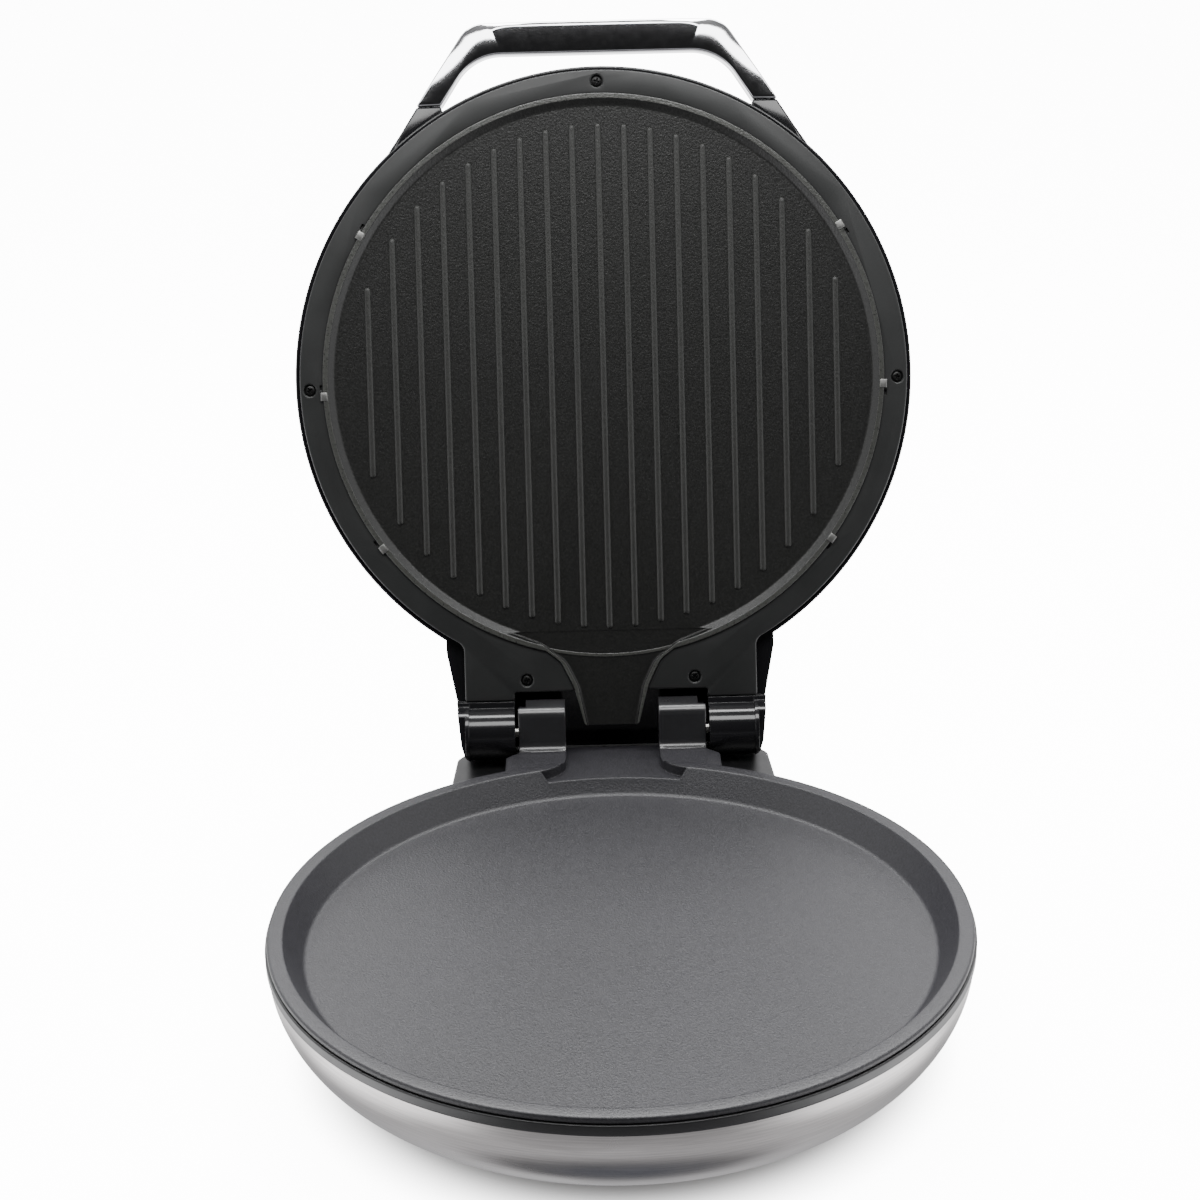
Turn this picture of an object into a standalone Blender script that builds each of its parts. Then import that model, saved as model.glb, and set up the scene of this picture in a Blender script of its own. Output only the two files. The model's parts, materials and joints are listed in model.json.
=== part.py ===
"""Round electric pizza maker, standing open on its hinge, as separate pieces.

Sizes are in millimetres, and new_object() turns them into metres. Pieces of the base are drawn about the
pan's axis with z = 0 on the table. Pieces of the lid are drawn shut, about the same axis, with z = 0 at
the hinge axis, and the lid's empty then swings them open.
"""
import math

import bmesh
import bpy
from mathutils import Matrix, Vector

MM = 0.001
GAP = 0.3                    # left between pieces that touch
ROUND_SIDES = 48             # sides of the large turned pieces
SMALL_SIDES = 12             # sides of pins, screws and lamps
SHARP_ANGLE = math.radians(35)

# Base, heights above the table
FOOT_HEIGHT = 5.0
FOOT_R = 9.0
HINGE_SCREW_X = 38.0
HINGE_SCREW_Y = 192.0
SCREW_HOLE_R = 1.9
RIM_Z = 65.0
RIM_R = 165.0
RIM_INNER_R = 157.6
RIM_THICKNESS = 3.0
PAN_FLOOR_R = 148.8
PAN_DEPTH = 13.5
PAN_WALL = 3.0
TRIM_R = 166.4
TRIM_INNER_R = 164.3
BOWL_TOP_Z = 56.4
BOWL_TOP_R = 165.8
BOWL_BOTTOM_R = 106.0
BOWL_SHEET = 1.2
BOTTOM_OPENING_R = 98.0
BOTTOM_SHEET = 2.0

# Hinge
HINGE_Y = 193.3
HINGE_Z = 68.9
OPEN_ANGLE = math.radians(108)
PIN_R = 3.0
PIN_BORE_R = 3.2
BASE_KNUCKLE_X = (25.5, 51.0)
BASE_KNUCKLE_FRONT_Y = 182.0
BASE_KNUCKLE_TOP_Z = 87.0
LID_KNUCKLE_X = (53.0, 80.0)
LID_KNUCKLE_R = 14.5
CHANNEL_HALF_WIDTH = 25.7
CHANNEL_Z = 59.3
CHANNEL_BACK_Y = 193.0
CHANNEL_WALL = 2.0
BLOCK_TOP_Z = 52.5
BLOCK_BACK_Y = 216.0
BLOCK_WALL = 3.0

# Lid, heights from the hinge axis when shut
RING_FACE = -3.5
RING_BACK = 2.0
RING_INNER_R = 152.1
RING_TAIL_HALF_WIDTH = 80.0
RING_TAIL_Y = 175.3
NOTCH_HALF_WIDTH = 53.0
NOTCH_Y = 170.8
NOTCH_CEILING = 20.0
PLATE_R = 151.7
PLATE_BACK = 1.0
PLATE_FLOOR = -2.0
BEAD_FACE = -4.3
BEAD_WIDTH = 4.2
TONGUE_FACE = -3.5
TONGUE_BACK = -0.7
TROUGH_FLOOR = -2.2
RIB_COUNT = 19
RIB_PITCH = 14.1
RIB_WIDTH = 3.6
RIB_FACE = -3.2
RIB_CIRCLE_R = 137.0
COVER_R = 168.4
COVER_FACE = 2.3
COVER_TOP = 16.0
COVER_WALL = 3.0
SHOULDER_TOP = 27.0
DOME_TOP = 45.0
DOME_FLAT_R = 70.0
DOME_FOOT_R = 161.5
DOME_SHEET = 1.2
HANDLE_LEVELS = (1.0, 13.0)
HANDLE_TOP_Y = 192.3
HANDLE_INNER_Y = 175.4
HANDLE_SEAM_Y = 148.5
HANDLE_SEAM_X = (84.2, 97.6)
HANDLE_LEAN = -23.1 / 35.1   # change of x for each millimetre away from the lid's centre

# Heating
ELEMENT_R = 95.0
ELEMENT_TUBE_R = 4.0
ELEMENT_GAP_ANGLE = math.radians(24)
REFLECTOR_R = 125.0


def new_material(name, colour, roughness, metallic):
    """A plain Principled material."""
    material = bpy.data.materials.new(name)
    material.use_nodes = True
    shader = material.node_tree.nodes["Principled BSDF"]
    shader.inputs["Base Color"].default_value = (*colour, 1.0)
    shader.inputs["Roughness"].default_value = roughness
    shader.inputs["Metallic"].default_value = metallic
    return material


def new_object(name, corners, faces, material=None):
    """One mesh object from corners in millimetres."""
    shape = bmesh.new()
    points = [shape.verts.new(Vector(corner) * MM) for corner in corners]
    for face in faces:
        shape.faces.new([points[index] for index in face])
    bmesh.ops.recalc_face_normals(shape, faces=shape.faces)
    mesh = bpy.data.meshes.new(name)
    shape.to_mesh(mesh)
    shape.free()
    thing = bpy.data.objects.new(name, mesh)
    bpy.context.scene.collection.objects.link(thing)
    if material:
        mesh.materials.append(material)
    return thing


def smooth(thing):
    """Smooth shading with the sharp corners kept."""
    thing.data.shade_smooth()
    thing.data.set_sharp_from_angle(angle=SHARP_ANGLE)
    return thing


def turned(name, outline, material=None, sides=ROUND_SIDES, centre=(0.0, 0.0)):
    """Turn an outline of (radius, height) points about a vertical axis; a radius of 0 lies on the axis."""
    corners = []
    rings = []
    for radius, height in outline:
        if radius == 0:
            rings.append([len(corners)] * sides)
            corners.append((centre[0], centre[1], height))
            continue
        rings.append(list(range(len(corners), len(corners) + sides)))
        for step in range(sides):
            angle = 2 * math.pi * (step + 0.5) / sides
            x = centre[0] + radius * math.cos(angle)
            y = centre[1] + radius * math.sin(angle)
            corners.append((x, y, height))
    faces = []
    for ring, following in zip(rings, rings[1:] + rings[:1]):
        for step in range(sides):
            after = (step + 1) % sides
            face = list(dict.fromkeys((ring[step], ring[after], following[after], following[step])))
            if len(face) > 2:
                faces.append(face)
    return smooth(new_object(name, corners, faces, material))


def extruded(name, first, second, material):
    """Two like rings of corners joined by sides and closed by their ends."""
    count = len(first)
    sides = [(i, (i + 1) % count, count + (i + 1) % count, count + i) for i in range(count)]
    ends = [tuple(range(count)), tuple(range(count, 2 * count))]
    return new_object(name, first + second, sides + ends, material)


def prism(name, outline, low, high, material=None):
    """An outline of (x, y) points raised from one height to another."""
    return extruded(name, [(x, y, low) for x, y in outline], [(x, y, high) for x, y in outline], material)


def side_prism(name, outline, left, right, material=None):
    """An outline of (y, z) points drawn out along x."""
    return extruded(name, [(left, y, z) for y, z in outline], [(right, y, z) for y, z in outline], material)


def front_prism(name, outline, front, back, material=None):
    """An outline of (x, z) points drawn out along y."""
    return extruded(name, [(x, front, z) for x, z in outline], [(x, back, z) for x, z in outline], material)


def box(name, low, high, material=None):
    """A box between two opposite corners."""
    outline = [(low[0], low[1]), (high[0], low[1]), (high[0], high[1]), (low[0], high[1])]
    return prism(name, outline, low[2], high[2], material)


def circle(radius, centre=(0.0, 0.0), sides=SMALL_SIDES, start=0.0, sweep=2 * math.pi):
    """Points along a circle, or along an arc when the sweep is less than a full turn."""
    whole = sweep >= 2 * math.pi
    steps = sides if whole else sides - 1
    first = 0.5 if whole else 0.0
    angles = [start + sweep * (step + first) / steps for step in range(sides)]
    return [(centre[0] + radius * math.cos(a), centre[1] + radius * math.sin(a)) for a in angles]


def rod_along_x(name, radius, left, right, centre=(HINGE_Y, HINGE_Z), material=None):
    """A round rod whose centre is given as (y, z)."""
    return smooth(side_prism(name, circle(radius, centre), left, right, material))


def rod_along_y(name, radius, front, back, centre, material=None):
    """A round rod whose centre is given as (x, z)."""
    return smooth(front_prism(name, circle(radius, centre), front, back, material))


def rounded(outline, radii, steps=6):
    """The outline with each corner replaced by an arc of its own radius; 0 keeps the corner."""
    points = []
    for index, corner in enumerate(outline):
        here = Vector(corner)
        before = (Vector(outline[index - 1]) - here).normalized()
        after = (Vector(outline[(index + 1) % len(outline)]) - here).normalized()
        radius = radii[index]
        if radius == 0:
            points.append(corner)
            continue
        half = before.angle(after) / 2
        middle = here + (before + after).normalized() * (radius / math.sin(half))
        first = here + before * (radius / math.tan(half)) - middle
        turn = first.angle_signed(here + after * (radius / math.tan(half)) - middle)
        for step in range(steps + 1):
            spot = middle + Matrix.Rotation(-turn * step / steps, 2) @ first
            points.append((spot.x, spot.y))
    return points


def mirrored(outline):
    """A right-hand outline followed by its mirror image, as one closed outline."""
    return outline + [(-x, y) for x, y in reversed(outline) if abs(x) > 1e-6]


def combine(thing, tool, operation):
    """Apply one exact Boolean and drop the tool."""
    modifier = thing.modifiers.new("combine", 'BOOLEAN')
    modifier.operation = operation
    modifier.solver = 'EXACT'
    modifier.object = tool
    bpy.context.view_layer.update()
    evaluated = thing.evaluated_get(bpy.context.evaluated_depsgraph_get())
    mesh = bpy.data.meshes.new_from_object(evaluated)
    thing.modifiers.remove(modifier)
    thing.data = mesh
    mesh.name = thing.name
    bpy.data.objects.remove(tool)
    return thing


def cut(thing, *tools):
    for tool in tools:
        combine(thing, tool, 'DIFFERENCE')
    return thing


def join(thing, *tools):
    for tool in tools:
        combine(thing, tool, 'UNION')
    return thing


def quarter_ellipse(inner_r, width, start_z, height, steps=8):
    """(radius, height) points from the wide foot of a bowl's curve to its flat end."""
    angles = [math.pi / 2 * step / steps for step in range(steps + 1)]
    return [(inner_r + width * math.cos(a), start_z + height * math.sin(a)) for a in angles]


def screw(name, centre, head_low, head_high, tip, material, head_r=2.8, shank_r=1.5):
    """A plain screw along z: the head between two heights, the shank on to the tip."""
    outline = [(0, head_low), (head_r, head_low), (head_r, head_high), (shank_r, head_high),
               (shank_r, tip), (0, tip)]
    return turned(name, outline, material, sides=SMALL_SIDES, centre=centre)


def element(name, level, material):
    """Tubular heater bent into an open ring, its two cold ends at the back."""
    sides = 6
    steps = 28
    start = math.pi / 2 + ELEMENT_GAP_ANGLE / 2
    sweep = 2 * math.pi - ELEMENT_GAP_ANGLE
    corners = []
    for step in range(steps + 1):
        angle = start + sweep * step / steps
        for side in range(sides):
            around = 2 * math.pi * side / sides
            radius = ELEMENT_R + ELEMENT_TUBE_R * math.cos(around)
            height = level + ELEMENT_TUBE_R * math.sin(around)
            corners.append((radius * math.cos(angle), radius * math.sin(angle), height))
    faces = [tuple(range(sides)), tuple(range(steps * sides, (steps + 1) * sides))]
    for step in range(steps):
        for side in range(sides):
            after = (side + 1) % sides
            low = step * sides
            high = low + sides
            faces.append((low + side, low + after, high + after, high + side))
    return smooth(new_object(name, corners, faces, material))


def element_clamp(name, angle, level, low, high, material):
    """A saddle that holds the heater tube."""
    half_width = 5.0
    half_depth = 7.0
    saddle = box(name, (ELEMENT_R - half_depth, -half_width, low),
                 (ELEMENT_R + half_depth, half_width, high), material)
    cut(saddle, rod_along_y("tunnel", ELEMENT_TUBE_R + 0.8, -10.0, 10.0, (ELEMENT_R, level)))
    saddle.data.transform(Matrix.Rotation(angle, 4, 'Z'))
    return saddle


def build_pan(materials):
    """Cooking pan with its flat rim, the channel at the back and the two base knuckles."""
    floor = RIM_Z - PAN_DEPTH
    outline = [(0, floor), (PAN_FLOOR_R, floor), (RIM_INNER_R, RIM_Z), (RIM_R, RIM_Z),
               (RIM_R, RIM_Z - RIM_THICKNESS), (RIM_INNER_R + PAN_WALL, RIM_Z - RIM_THICKNESS),
               (PAN_FLOOR_R + PAN_WALL, floor - PAN_WALL), (0, floor - PAN_WALL)]
    pan = turned("lower_pan", outline, materials["nonstick_pan"])
    underside = BLOCK_TOP_Z + GAP
    ledge_z = RIM_Z - 1.0
    tail = box("tail", (-58.0, 140.0, underside), (58.0, 172.0, ledge_z))
    half_width = CHANNEL_HALF_WIDTH + CHANNEL_WALL
    join(tail, box("bed", (-half_width, 150.0, underside), (half_width, CHANNEL_BACK_Y, ledge_z)))
    inner, outer = BASE_KNUCKLE_X
    front, top = BASE_KNUCKLE_FRONT_Y, BASE_KNUCKLE_TOP_Z
    arm_outline = [(156.0, underside), (202.0, underside), (205.0, 60.0), (205.3, 75.0), (200.5, 83.5),
                   (197.0, top), (front + 2, top), (front, top - 2), (front, ledge_z + 3),
                   (front - 3, ledge_z), (156.0, ledge_z)]
    for side in (-1, 1):
        left, right = sorted((side * inner, side * outer))
        join(tail, side_prism("arm", arm_outline, left, right))
    cut(tail, turned("bowl_space", [(0, 40.0), (TRIM_R + 0.6, 40.0), (TRIM_R + 0.6, 61.8), (0, 61.8)]))
    cut(tail, turned("pan_space", [(0, 60.0), (161.0, 60.0), (161.0, 90.0), (0, 90.0)]))
    join(tail, box("bed", (-half_width, 155.2, BOWL_TOP_Z + GAP), (half_width, 180.0, ledge_z)))
    join(pan, tail)
    cut(pan, box("channel", (-CHANNEL_HALF_WIDTH + GAP, 140.0, CHANNEL_Z),
                 (CHANNEL_HALF_WIDTH - GAP, CHANNEL_BACK_Y + 1, 80.0)))
    for side in (-1, 1):
        left, right = sorted((side * (inner + 1.2), side * (outer + 1.0)))
        cut(pan, rod_along_x("bore", PIN_BORE_R, left, right))
    return smooth(pan)


def build_bowl(materials):
    """Steel bowl, the band under the rim, and the sheet that closes the bottom."""
    trim = [(TRIM_R, BOWL_TOP_Z + GAP), (TRIM_R, RIM_Z - RIM_THICKNESS - GAP),
            (TRIM_INNER_R, RIM_Z - RIM_THICKNESS - GAP), (TRIM_INNER_R, BOWL_TOP_Z + GAP)]
    band = turned("lower_trim_ring", trim, materials["black_plastic"])
    clear_x = CHANNEL_HALF_WIDTH + CHANNEL_WALL + 1.5
    smooth(cut(band, box("channel_space", (-clear_x, 140.0, 40.0), (clear_x, 180.0, 70.0))))
    depth = BOWL_TOP_Z - FOOT_HEIGHT
    width = BOWL_TOP_R - BOWL_BOTTOM_R
    outside = quarter_ellipse(BOWL_BOTTOM_R, width, BOWL_TOP_Z, -depth)
    inside = quarter_ellipse(BOWL_BOTTOM_R, width - BOWL_SHEET, BOWL_TOP_Z, -(depth - BOWL_SHEET))
    flange = [(BOTTOM_OPENING_R, FOOT_HEIGHT), (BOTTOM_OPENING_R, FOOT_HEIGHT + BOWL_SHEET)]
    bowl = turned("lower_housing", outside + flange + inside[::-1], materials["brushed_steel"])
    smooth(cut(bowl, rod_along_y("passage", 11.0, 130.0, 175.0, (0.0, 32.0))))
    low = FOOT_HEIGHT + BOWL_SHEET + GAP
    sheet = turned("bottom_cover", [(0, low), (103.0, low), (103.0, low + BOTTOM_SHEET),
                                    (0, low + BOTTOM_SHEET)], materials["black_plastic"], sides=48)
    slot_pitch = 10.0
    for row in range(7):
        y = (row - 3) * slot_pitch
        cut(sheet, box("vent", (-24.0, y - 1.5, 0.0), (24.0, y + 1.5, 20.0)))
    for index, angle in enumerate((45, 135, 225, 315)):
        centre = (70.0 * math.cos(math.radians(angle)), 70.0 * math.sin(math.radians(angle)))
        hole = [(0, 0.0), (SCREW_HOLE_R, 0.0), (SCREW_HOLE_R, 20.0), (0, 20.0)]
        cut(sheet, turned("hole", hole, sides=SMALL_SIDES, centre=centre))
        screw(f"bottom_screw_{index + 1}", centre, low - 2.0, low - GAP, low + 8.0, materials["steel"])


def block_outline(grow=0.0):
    """Plan of the hinge block, widest where it meets the bowl."""
    side = [(94.0 + grow, 120.0), (94.0 + grow, 142.0), (88.0 + grow, 160.0),
            (86.0 + grow, 196.0), (72.0 + grow, BLOCK_BACK_Y + grow)]
    return mirrored(side)


def bowl_keepout():
    """Space of the bowl and the band, with the usual gap."""
    reach = 0.5
    curve = quarter_ellipse(BOWL_BOTTOM_R, BOWL_TOP_R - BOWL_BOTTOM_R + reach, BOWL_TOP_Z,
                            -(BOWL_TOP_Z - FOOT_HEIGHT + reach), steps=10)
    return turned("bowl_keepout", [(0, 70.0), (BOWL_TOP_R + reach, 70.0)] + curve + [(0, curve[-1][1])])


def build_hinge_block(materials):
    """Hollow block behind the bowl; the lid's shoulders come to rest on its top."""
    foot = FOOT_HEIGHT + GAP
    block = prism("hinge_block", block_outline(), foot, BLOCK_TOP_Z, materials["black_plastic"])
    cut(block, bowl_keepout())
    cut(block, prism("room", block_outline(-BLOCK_WALL), foot + BLOCK_WALL, BLOCK_TOP_Z - BLOCK_WALL))
    pan = bpy.data.objects["lower_pan"]
    under = BLOCK_TOP_Z - BLOCK_WALL - GAP
    for name, x in (("hinge_screw_left", -HINGE_SCREW_X), ("hinge_screw_right", HINGE_SCREW_X)):
        centre = (x, HINGE_SCREW_Y)
        for drilled in (block, pan):
            hole = [(0, 40.0), (SCREW_HOLE_R, 40.0), (SCREW_HOLE_R, 61.0), (0, 61.0)]
            cut(drilled, turned("hole", hole, sides=SMALL_SIDES, centre=centre))
        screw(name, centre, under - 2.2, under, 60.0, materials["steel"])
    gland_x, gland_z = 45.0, 24.0
    gland_r = 7.0
    opening = rod_along_y("opening", gland_r + GAP, 205.0, 222.0, (gland_x, gland_z))
    cut(block, opening)
    gland = rod_along_y("cord_gland", gland_r, 208.0, 222.0, (gland_x, gland_z),
                        materials["black_rubber"])
    join(gland, rod_along_y("flange", 10.0, BLOCK_BACK_Y + GAP, 219.0, (gland_x, gland_z)))
    cut(gland, rod_along_y("cord_hole", 3.6, 200.0, 230.0, (gland_x, gland_z)))
    smooth(gland)
    front_top = FOOT_HEIGHT + BOWL_SHEET
    for index, (x, y, top) in enumerate(((-62.0, -62.0, front_top), (62.0, -62.0, front_top),
                                         (-58.0, 196.0, FOOT_HEIGHT), (58.0, 196.0, FOOT_HEIGHT))):
        outline = [(0, 0.0), (FOOT_R - 1.0, 0.0), (FOOT_R, 1.0), (FOOT_R, top), (0, top)]
        turned(f"foot_{index + 1}", outline, materials["black_rubber"], sides=20, centre=(x, y))


def build_base_heating(materials):
    """Heater, reflector and controls under the pan."""
    underside = RIM_Z - PAN_DEPTH - PAN_WALL
    level = underside - ELEMENT_TUBE_R - 0.6
    reflector_top = 37.0
    element("lower_heating_element", level, materials["heater_steel"])
    dish = [(0, reflector_top - 1), (REFLECTOR_R, reflector_top - 1), (REFLECTOR_R, reflector_top),
            (0, reflector_top)]
    turned("lower_reflector", dish, materials["bright_sheet"], sides=48)
    for index, angle in enumerate((30, 150, 270)):
        element_clamp(f"lower_element_clamp_{index + 1}", math.radians(angle), level,
                      reflector_top + GAP, underside - GAP, materials["steel"])
    can = [(0, reflector_top + GAP), (8.0, reflector_top + GAP), (8.0, underside - GAP), (0, underside - GAP)]
    turned("lower_thermostat", can, materials["white_ceramic"], sides=20, centre=(28.0, 0.0))
    rod_along_y("lower_thermal_fuse", 2.5, -12.0, 12.0, (-28.0, reflector_top + 3.2),
                materials["bright_sheet"])
    floor = FOOT_HEIGHT + BOWL_SHEET + BOTTOM_SHEET + 2 * GAP
    box("terminal_block", (-18.0, 62.0, floor), (18.0, 78.0, floor + 13.0), materials["white_ceramic"])


def build_ring(materials):
    """Plastic frame round the upper plate, with its tail towards the hinge."""
    ring = prism("lid_ring", circle(RIM_R, sides=ROUND_SIDES), RING_FACE, RING_BACK,
                 materials["black_matte"])
    join(ring, box("tail", (-RING_TAIL_HALF_WIDTH, 120.0, RING_FACE),
                   (RING_TAIL_HALF_WIDTH, RING_TAIL_Y, RING_BACK)))
    cut(ring, prism("hole", circle(RING_INNER_R, sides=ROUND_SIDES), -10.0, 10.0))
    cut(ring, box("notch", (-NOTCH_HALF_WIDTH, NOTCH_Y, -10.0), (NOTCH_HALF_WIDTH, 190.0, 10.0)))
    cut(ring, prism("tongue_slot", tongue_outline(0.4), -10.0, TONGUE_BACK + GAP))
    spots = [(0.0, -159.0), (159.6, 3.3), (-159.6, 3.3), (46.0, 164.3), (-46.0, 164.3)]
    for index, centre in enumerate(spots):
        seat = [(0, -10.0), (3.1, -10.0), (3.1, -0.9), (1.9, -0.9), (1.9, 10.0), (0, 10.0)]
        cut(ring, turned("seat", seat, sides=12, centre=centre))
        screw(f"ring_screw_{index + 1}", centre, RING_FACE + 0.2, -1.2, RING_BACK - 0.2,
              materials["black_steel"])
    return ring


def tongue_outline(grow=0.0):
    """Plan of the plate's tongue, narrowing towards the hinge."""
    side = [(44.0 + grow, 144.0), (34.0 + grow, 154.0), (22.5 + grow, 161.6), (18.0 + grow, 172.9),
            (14.8 + grow, 189.9 + grow)]
    return mirrored(side)


def build_plate(materials):
    """Ribbed upper cooking plate with its raised edge and tongue."""
    bead_in = PLATE_R - BEAD_WIDTH
    outline = [(0, PLATE_FLOOR), (bead_in - 1, PLATE_FLOOR), (bead_in + 2, BEAD_FACE), (PLATE_R, BEAD_FACE),
               (PLATE_R, PLATE_BACK), (0, PLATE_BACK)]
    plate = turned("upper_plate", outline, materials["nonstick_plate"])
    join(plate, prism("tongue", tongue_outline(), TONGUE_FACE, TONGUE_BACK))
    cut(plate, prism("trough", tongue_outline(-2.6), -8.0, TROUGH_FLOOR))
    reach = RIB_COUNT // 2
    for index in range(-reach, reach + 1):
        x = index * RIB_PITCH
        half = math.sqrt(RIB_CIRCLE_R ** 2 - x ** 2)
        join(plate, box("rib", (x - RIB_WIDTH / 2, -half, RIB_FACE), (x + RIB_WIDTH / 2, half, -1.5)))
    for index, (x, y) in enumerate(((129.0, -78.7), (151.8, 6.9), (122.7, 90.6),
                                    (-129.0, -78.7), (-151.8, 6.9), (-122.7, 90.6))):
        clip = box(f"plate_clip_{index + 1}", (149.4, -4.0, BEAD_FACE - GAP - 0.8),
                   (154.6, 4.0, BEAD_FACE - GAP), materials["steel"])
        clip.data.transform(Matrix.Rotation(math.atan2(y, x), 4, 'Z'))
    return plate


def shoulder_plan(grow=0.0):
    """Plan of the cover's tail, widest at the round edge and narrower behind the hinge."""
    side = [(90.0 + grow, 130.0), (90.0 + grow, 148.3), (84.5 + grow, 177.3), (82.4 + grow, 199.3),
            (79.6 + grow, 208.3 + grow)]
    return mirrored(side)


def shoulder_side():
    """Side view of the cover's tail: knuckle below, stop face behind, level top."""
    knuckle = circle(LID_KNUCKLE_R, (HINGE_Y, 0.0), sides=9, start=math.pi + 0.24, sweep=math.pi - 0.24)
    return ([(130.0, COVER_FACE), (RING_TAIL_Y + 0.5, COVER_FACE), (RING_TAIL_Y + 0.5, RING_FACE)] + knuckle
            + [(208.3, 6.0), (202.45, 24.0), (196.0, SHOULDER_TOP), (130.0, SHOULDER_TOP)])


def handle_outline():
    """Front view of the handle: two leaning arms and the bar between them."""
    inner_x, outer_x = HANDLE_SEAM_X
    outer_corner = outer_x + HANDLE_LEAN * (HANDLE_TOP_Y - HANDLE_SEAM_Y)
    inner_corner = inner_x + HANDLE_LEAN * (HANDLE_INNER_Y - HANDLE_SEAM_Y)
    loop = [(outer_x, -HANDLE_SEAM_Y), (outer_corner, -HANDLE_TOP_Y), (-outer_corner, -HANDLE_TOP_Y),
            (-outer_x, -HANDLE_SEAM_Y), (-inner_x, -HANDLE_SEAM_Y), (-inner_corner, -HANDLE_INNER_Y),
            (inner_corner, -HANDLE_INNER_Y), (inner_x, -HANDLE_SEAM_Y)]
    return rounded(loop, [0, 16, 16, 0, 0, 28, 28, 0])


def build_cover(materials):
    """Black cover: round edge, shoulders with the lid knuckles, and the handle's brackets."""
    wall = [(COVER_R, COVER_FACE), (COVER_R, 9.0), (163.5, COVER_TOP), (147.0, COVER_TOP),
            (147.0, COVER_TOP - 2.5), (162.0, COVER_TOP - 2.5), (COVER_R - COVER_WALL, 8.5),
            (COVER_R - COVER_WALL, COVER_FACE)]
    cover = turned("lid_cover", wall, materials["gloss_black"])
    tail = side_prism("tail", shoulder_side(), -95.0, 95.0)
    combine(tail, prism("plan", shoulder_plan(), -30.0, 40.0), 'INTERSECT')
    cut(tail, box("notch", (-NOTCH_HALF_WIDTH, NOTCH_Y, -30.0), (NOTCH_HALF_WIDTH, 230.0, NOTCH_CEILING)))
    cut(tail, box("room", (-74.0, 120.0, 0.0), (74.0, NOTCH_Y - COVER_WALL, SHOULDER_TOP - COVER_WALL)))
    join(cover, tail)
    for side in (-1, 1):
        bracket = [(84.2, -HANDLE_SEAM_Y + GAP), (97.6, -HANDLE_SEAM_Y + GAP), (107.0, -133.7),
                   (114.0, -123.6), (106.0, -124.0), (84.0, -142.5)]
        join(cover, prism("bracket", [(side * x, y) for x, y in bracket], COVER_FACE + 0.2, 13.0))
        seat = (side * 97.5, -139.5)
        cut(cover, turned("seat", [(0, 8.0), (3.4, 8.0), (3.4, 20.0), (0, 20.0)], sides=12, centre=seat))
        name = "handle_screw_left" if side < 0 else "handle_screw_right"
        screw(name, seat, 12.8, 10.5, 8.0 + GAP, materials["steel"])
        left, right = sorted((side * (LID_KNUCKLE_X[0] - 1.0), side * (LID_KNUCKLE_X[1] - 0.2)))
        cut(cover, rod_along_x("bore", PIN_BORE_R, left, right, (HINGE_Y, 0.0)))
    for name, side in (("hinge_pin_left", -1), ("hinge_pin_right", 1)):
        left, right = sorted((side * (BASE_KNUCKLE_X[0] + 1.5), side * (LID_KNUCKLE_X[1] - 0.5)))
        rod_along_x(name, PIN_R, left, right, (HINGE_Y, 0.0), materials["steel"])
    return smooth(cover)


def build_dome(materials):
    """Steel top of the lid with its two lamps."""
    foot = COVER_TOP + GAP
    width = DOME_FOOT_R - DOME_FLAT_R
    outside = quarter_ellipse(DOME_FLAT_R, width, foot, DOME_TOP - foot)
    inside = quarter_ellipse(DOME_FLAT_R, width - DOME_SHEET, foot, DOME_TOP - foot - DOME_SHEET)
    outline = outside + [(0, DOME_TOP), (0, DOME_TOP - DOME_SHEET)] + inside[::-1]
    dome = turned("lid_dome", outline, materials["brushed_steel"])
    cut(dome, prism("tail_space", shoulder_plan(0.4), 0.0, SHOULDER_TOP + 0.4))
    for name, x, colour in (("power_lamp", -10.0, "red_lens"), ("ready_lamp", 10.0, "green_lens")):
        centre = (x, -48.0)
        cut(dome, turned("hole", [(0, 30.0), (4.4, 30.0), (4.4, 60.0), (0, 60.0)],
                         sides=SMALL_SIDES, centre=centre))
        lens = [(0, 38.0), (4.0, 38.0), (4.0, DOME_TOP + 1.0), (2.6, DOME_TOP + 2.0), (0, DOME_TOP + 2.4)]
        turned(name, lens, materials[colour], sides=SMALL_SIDES, centre=centre)
    return smooth(dome)


def build_handle(materials):
    """Bridge handle between the two brackets."""
    handle = prism("handle", handle_outline(), *HANDLE_LEVELS, materials["chrome"])
    return smooth(handle)


def build_lid_heating(materials):
    """Heater, reflector and controls behind the upper plate."""
    level = PLATE_BACK + ELEMENT_TUBE_R + 0.6
    reflector_low = 12.0
    element("upper_heating_element", level, materials["heater_steel"])
    dish = [(0, reflector_low), (REFLECTOR_R, reflector_low), (REFLECTOR_R, reflector_low + 1),
            (0, reflector_low + 1)]
    turned("upper_reflector", dish, materials["bright_sheet"], sides=48)
    for index, angle in enumerate((30, 150, 270)):
        element_clamp(f"upper_element_clamp_{index + 1}", math.radians(angle), level,
                      PLATE_BACK + GAP, reflector_low - GAP, materials["steel"])
    can = [(0, PLATE_BACK + GAP), (8.0, PLATE_BACK + GAP), (8.0, reflector_low - GAP),
           (0, reflector_low - GAP)]
    turned("upper_thermostat", can, materials["white_ceramic"], sides=20, centre=(28.0, 0.0))
    rod_along_y("upper_thermal_fuse", 2.5, -12.0, 12.0, (-28.0, reflector_low - 3.2),
                materials["bright_sheet"])


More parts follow.
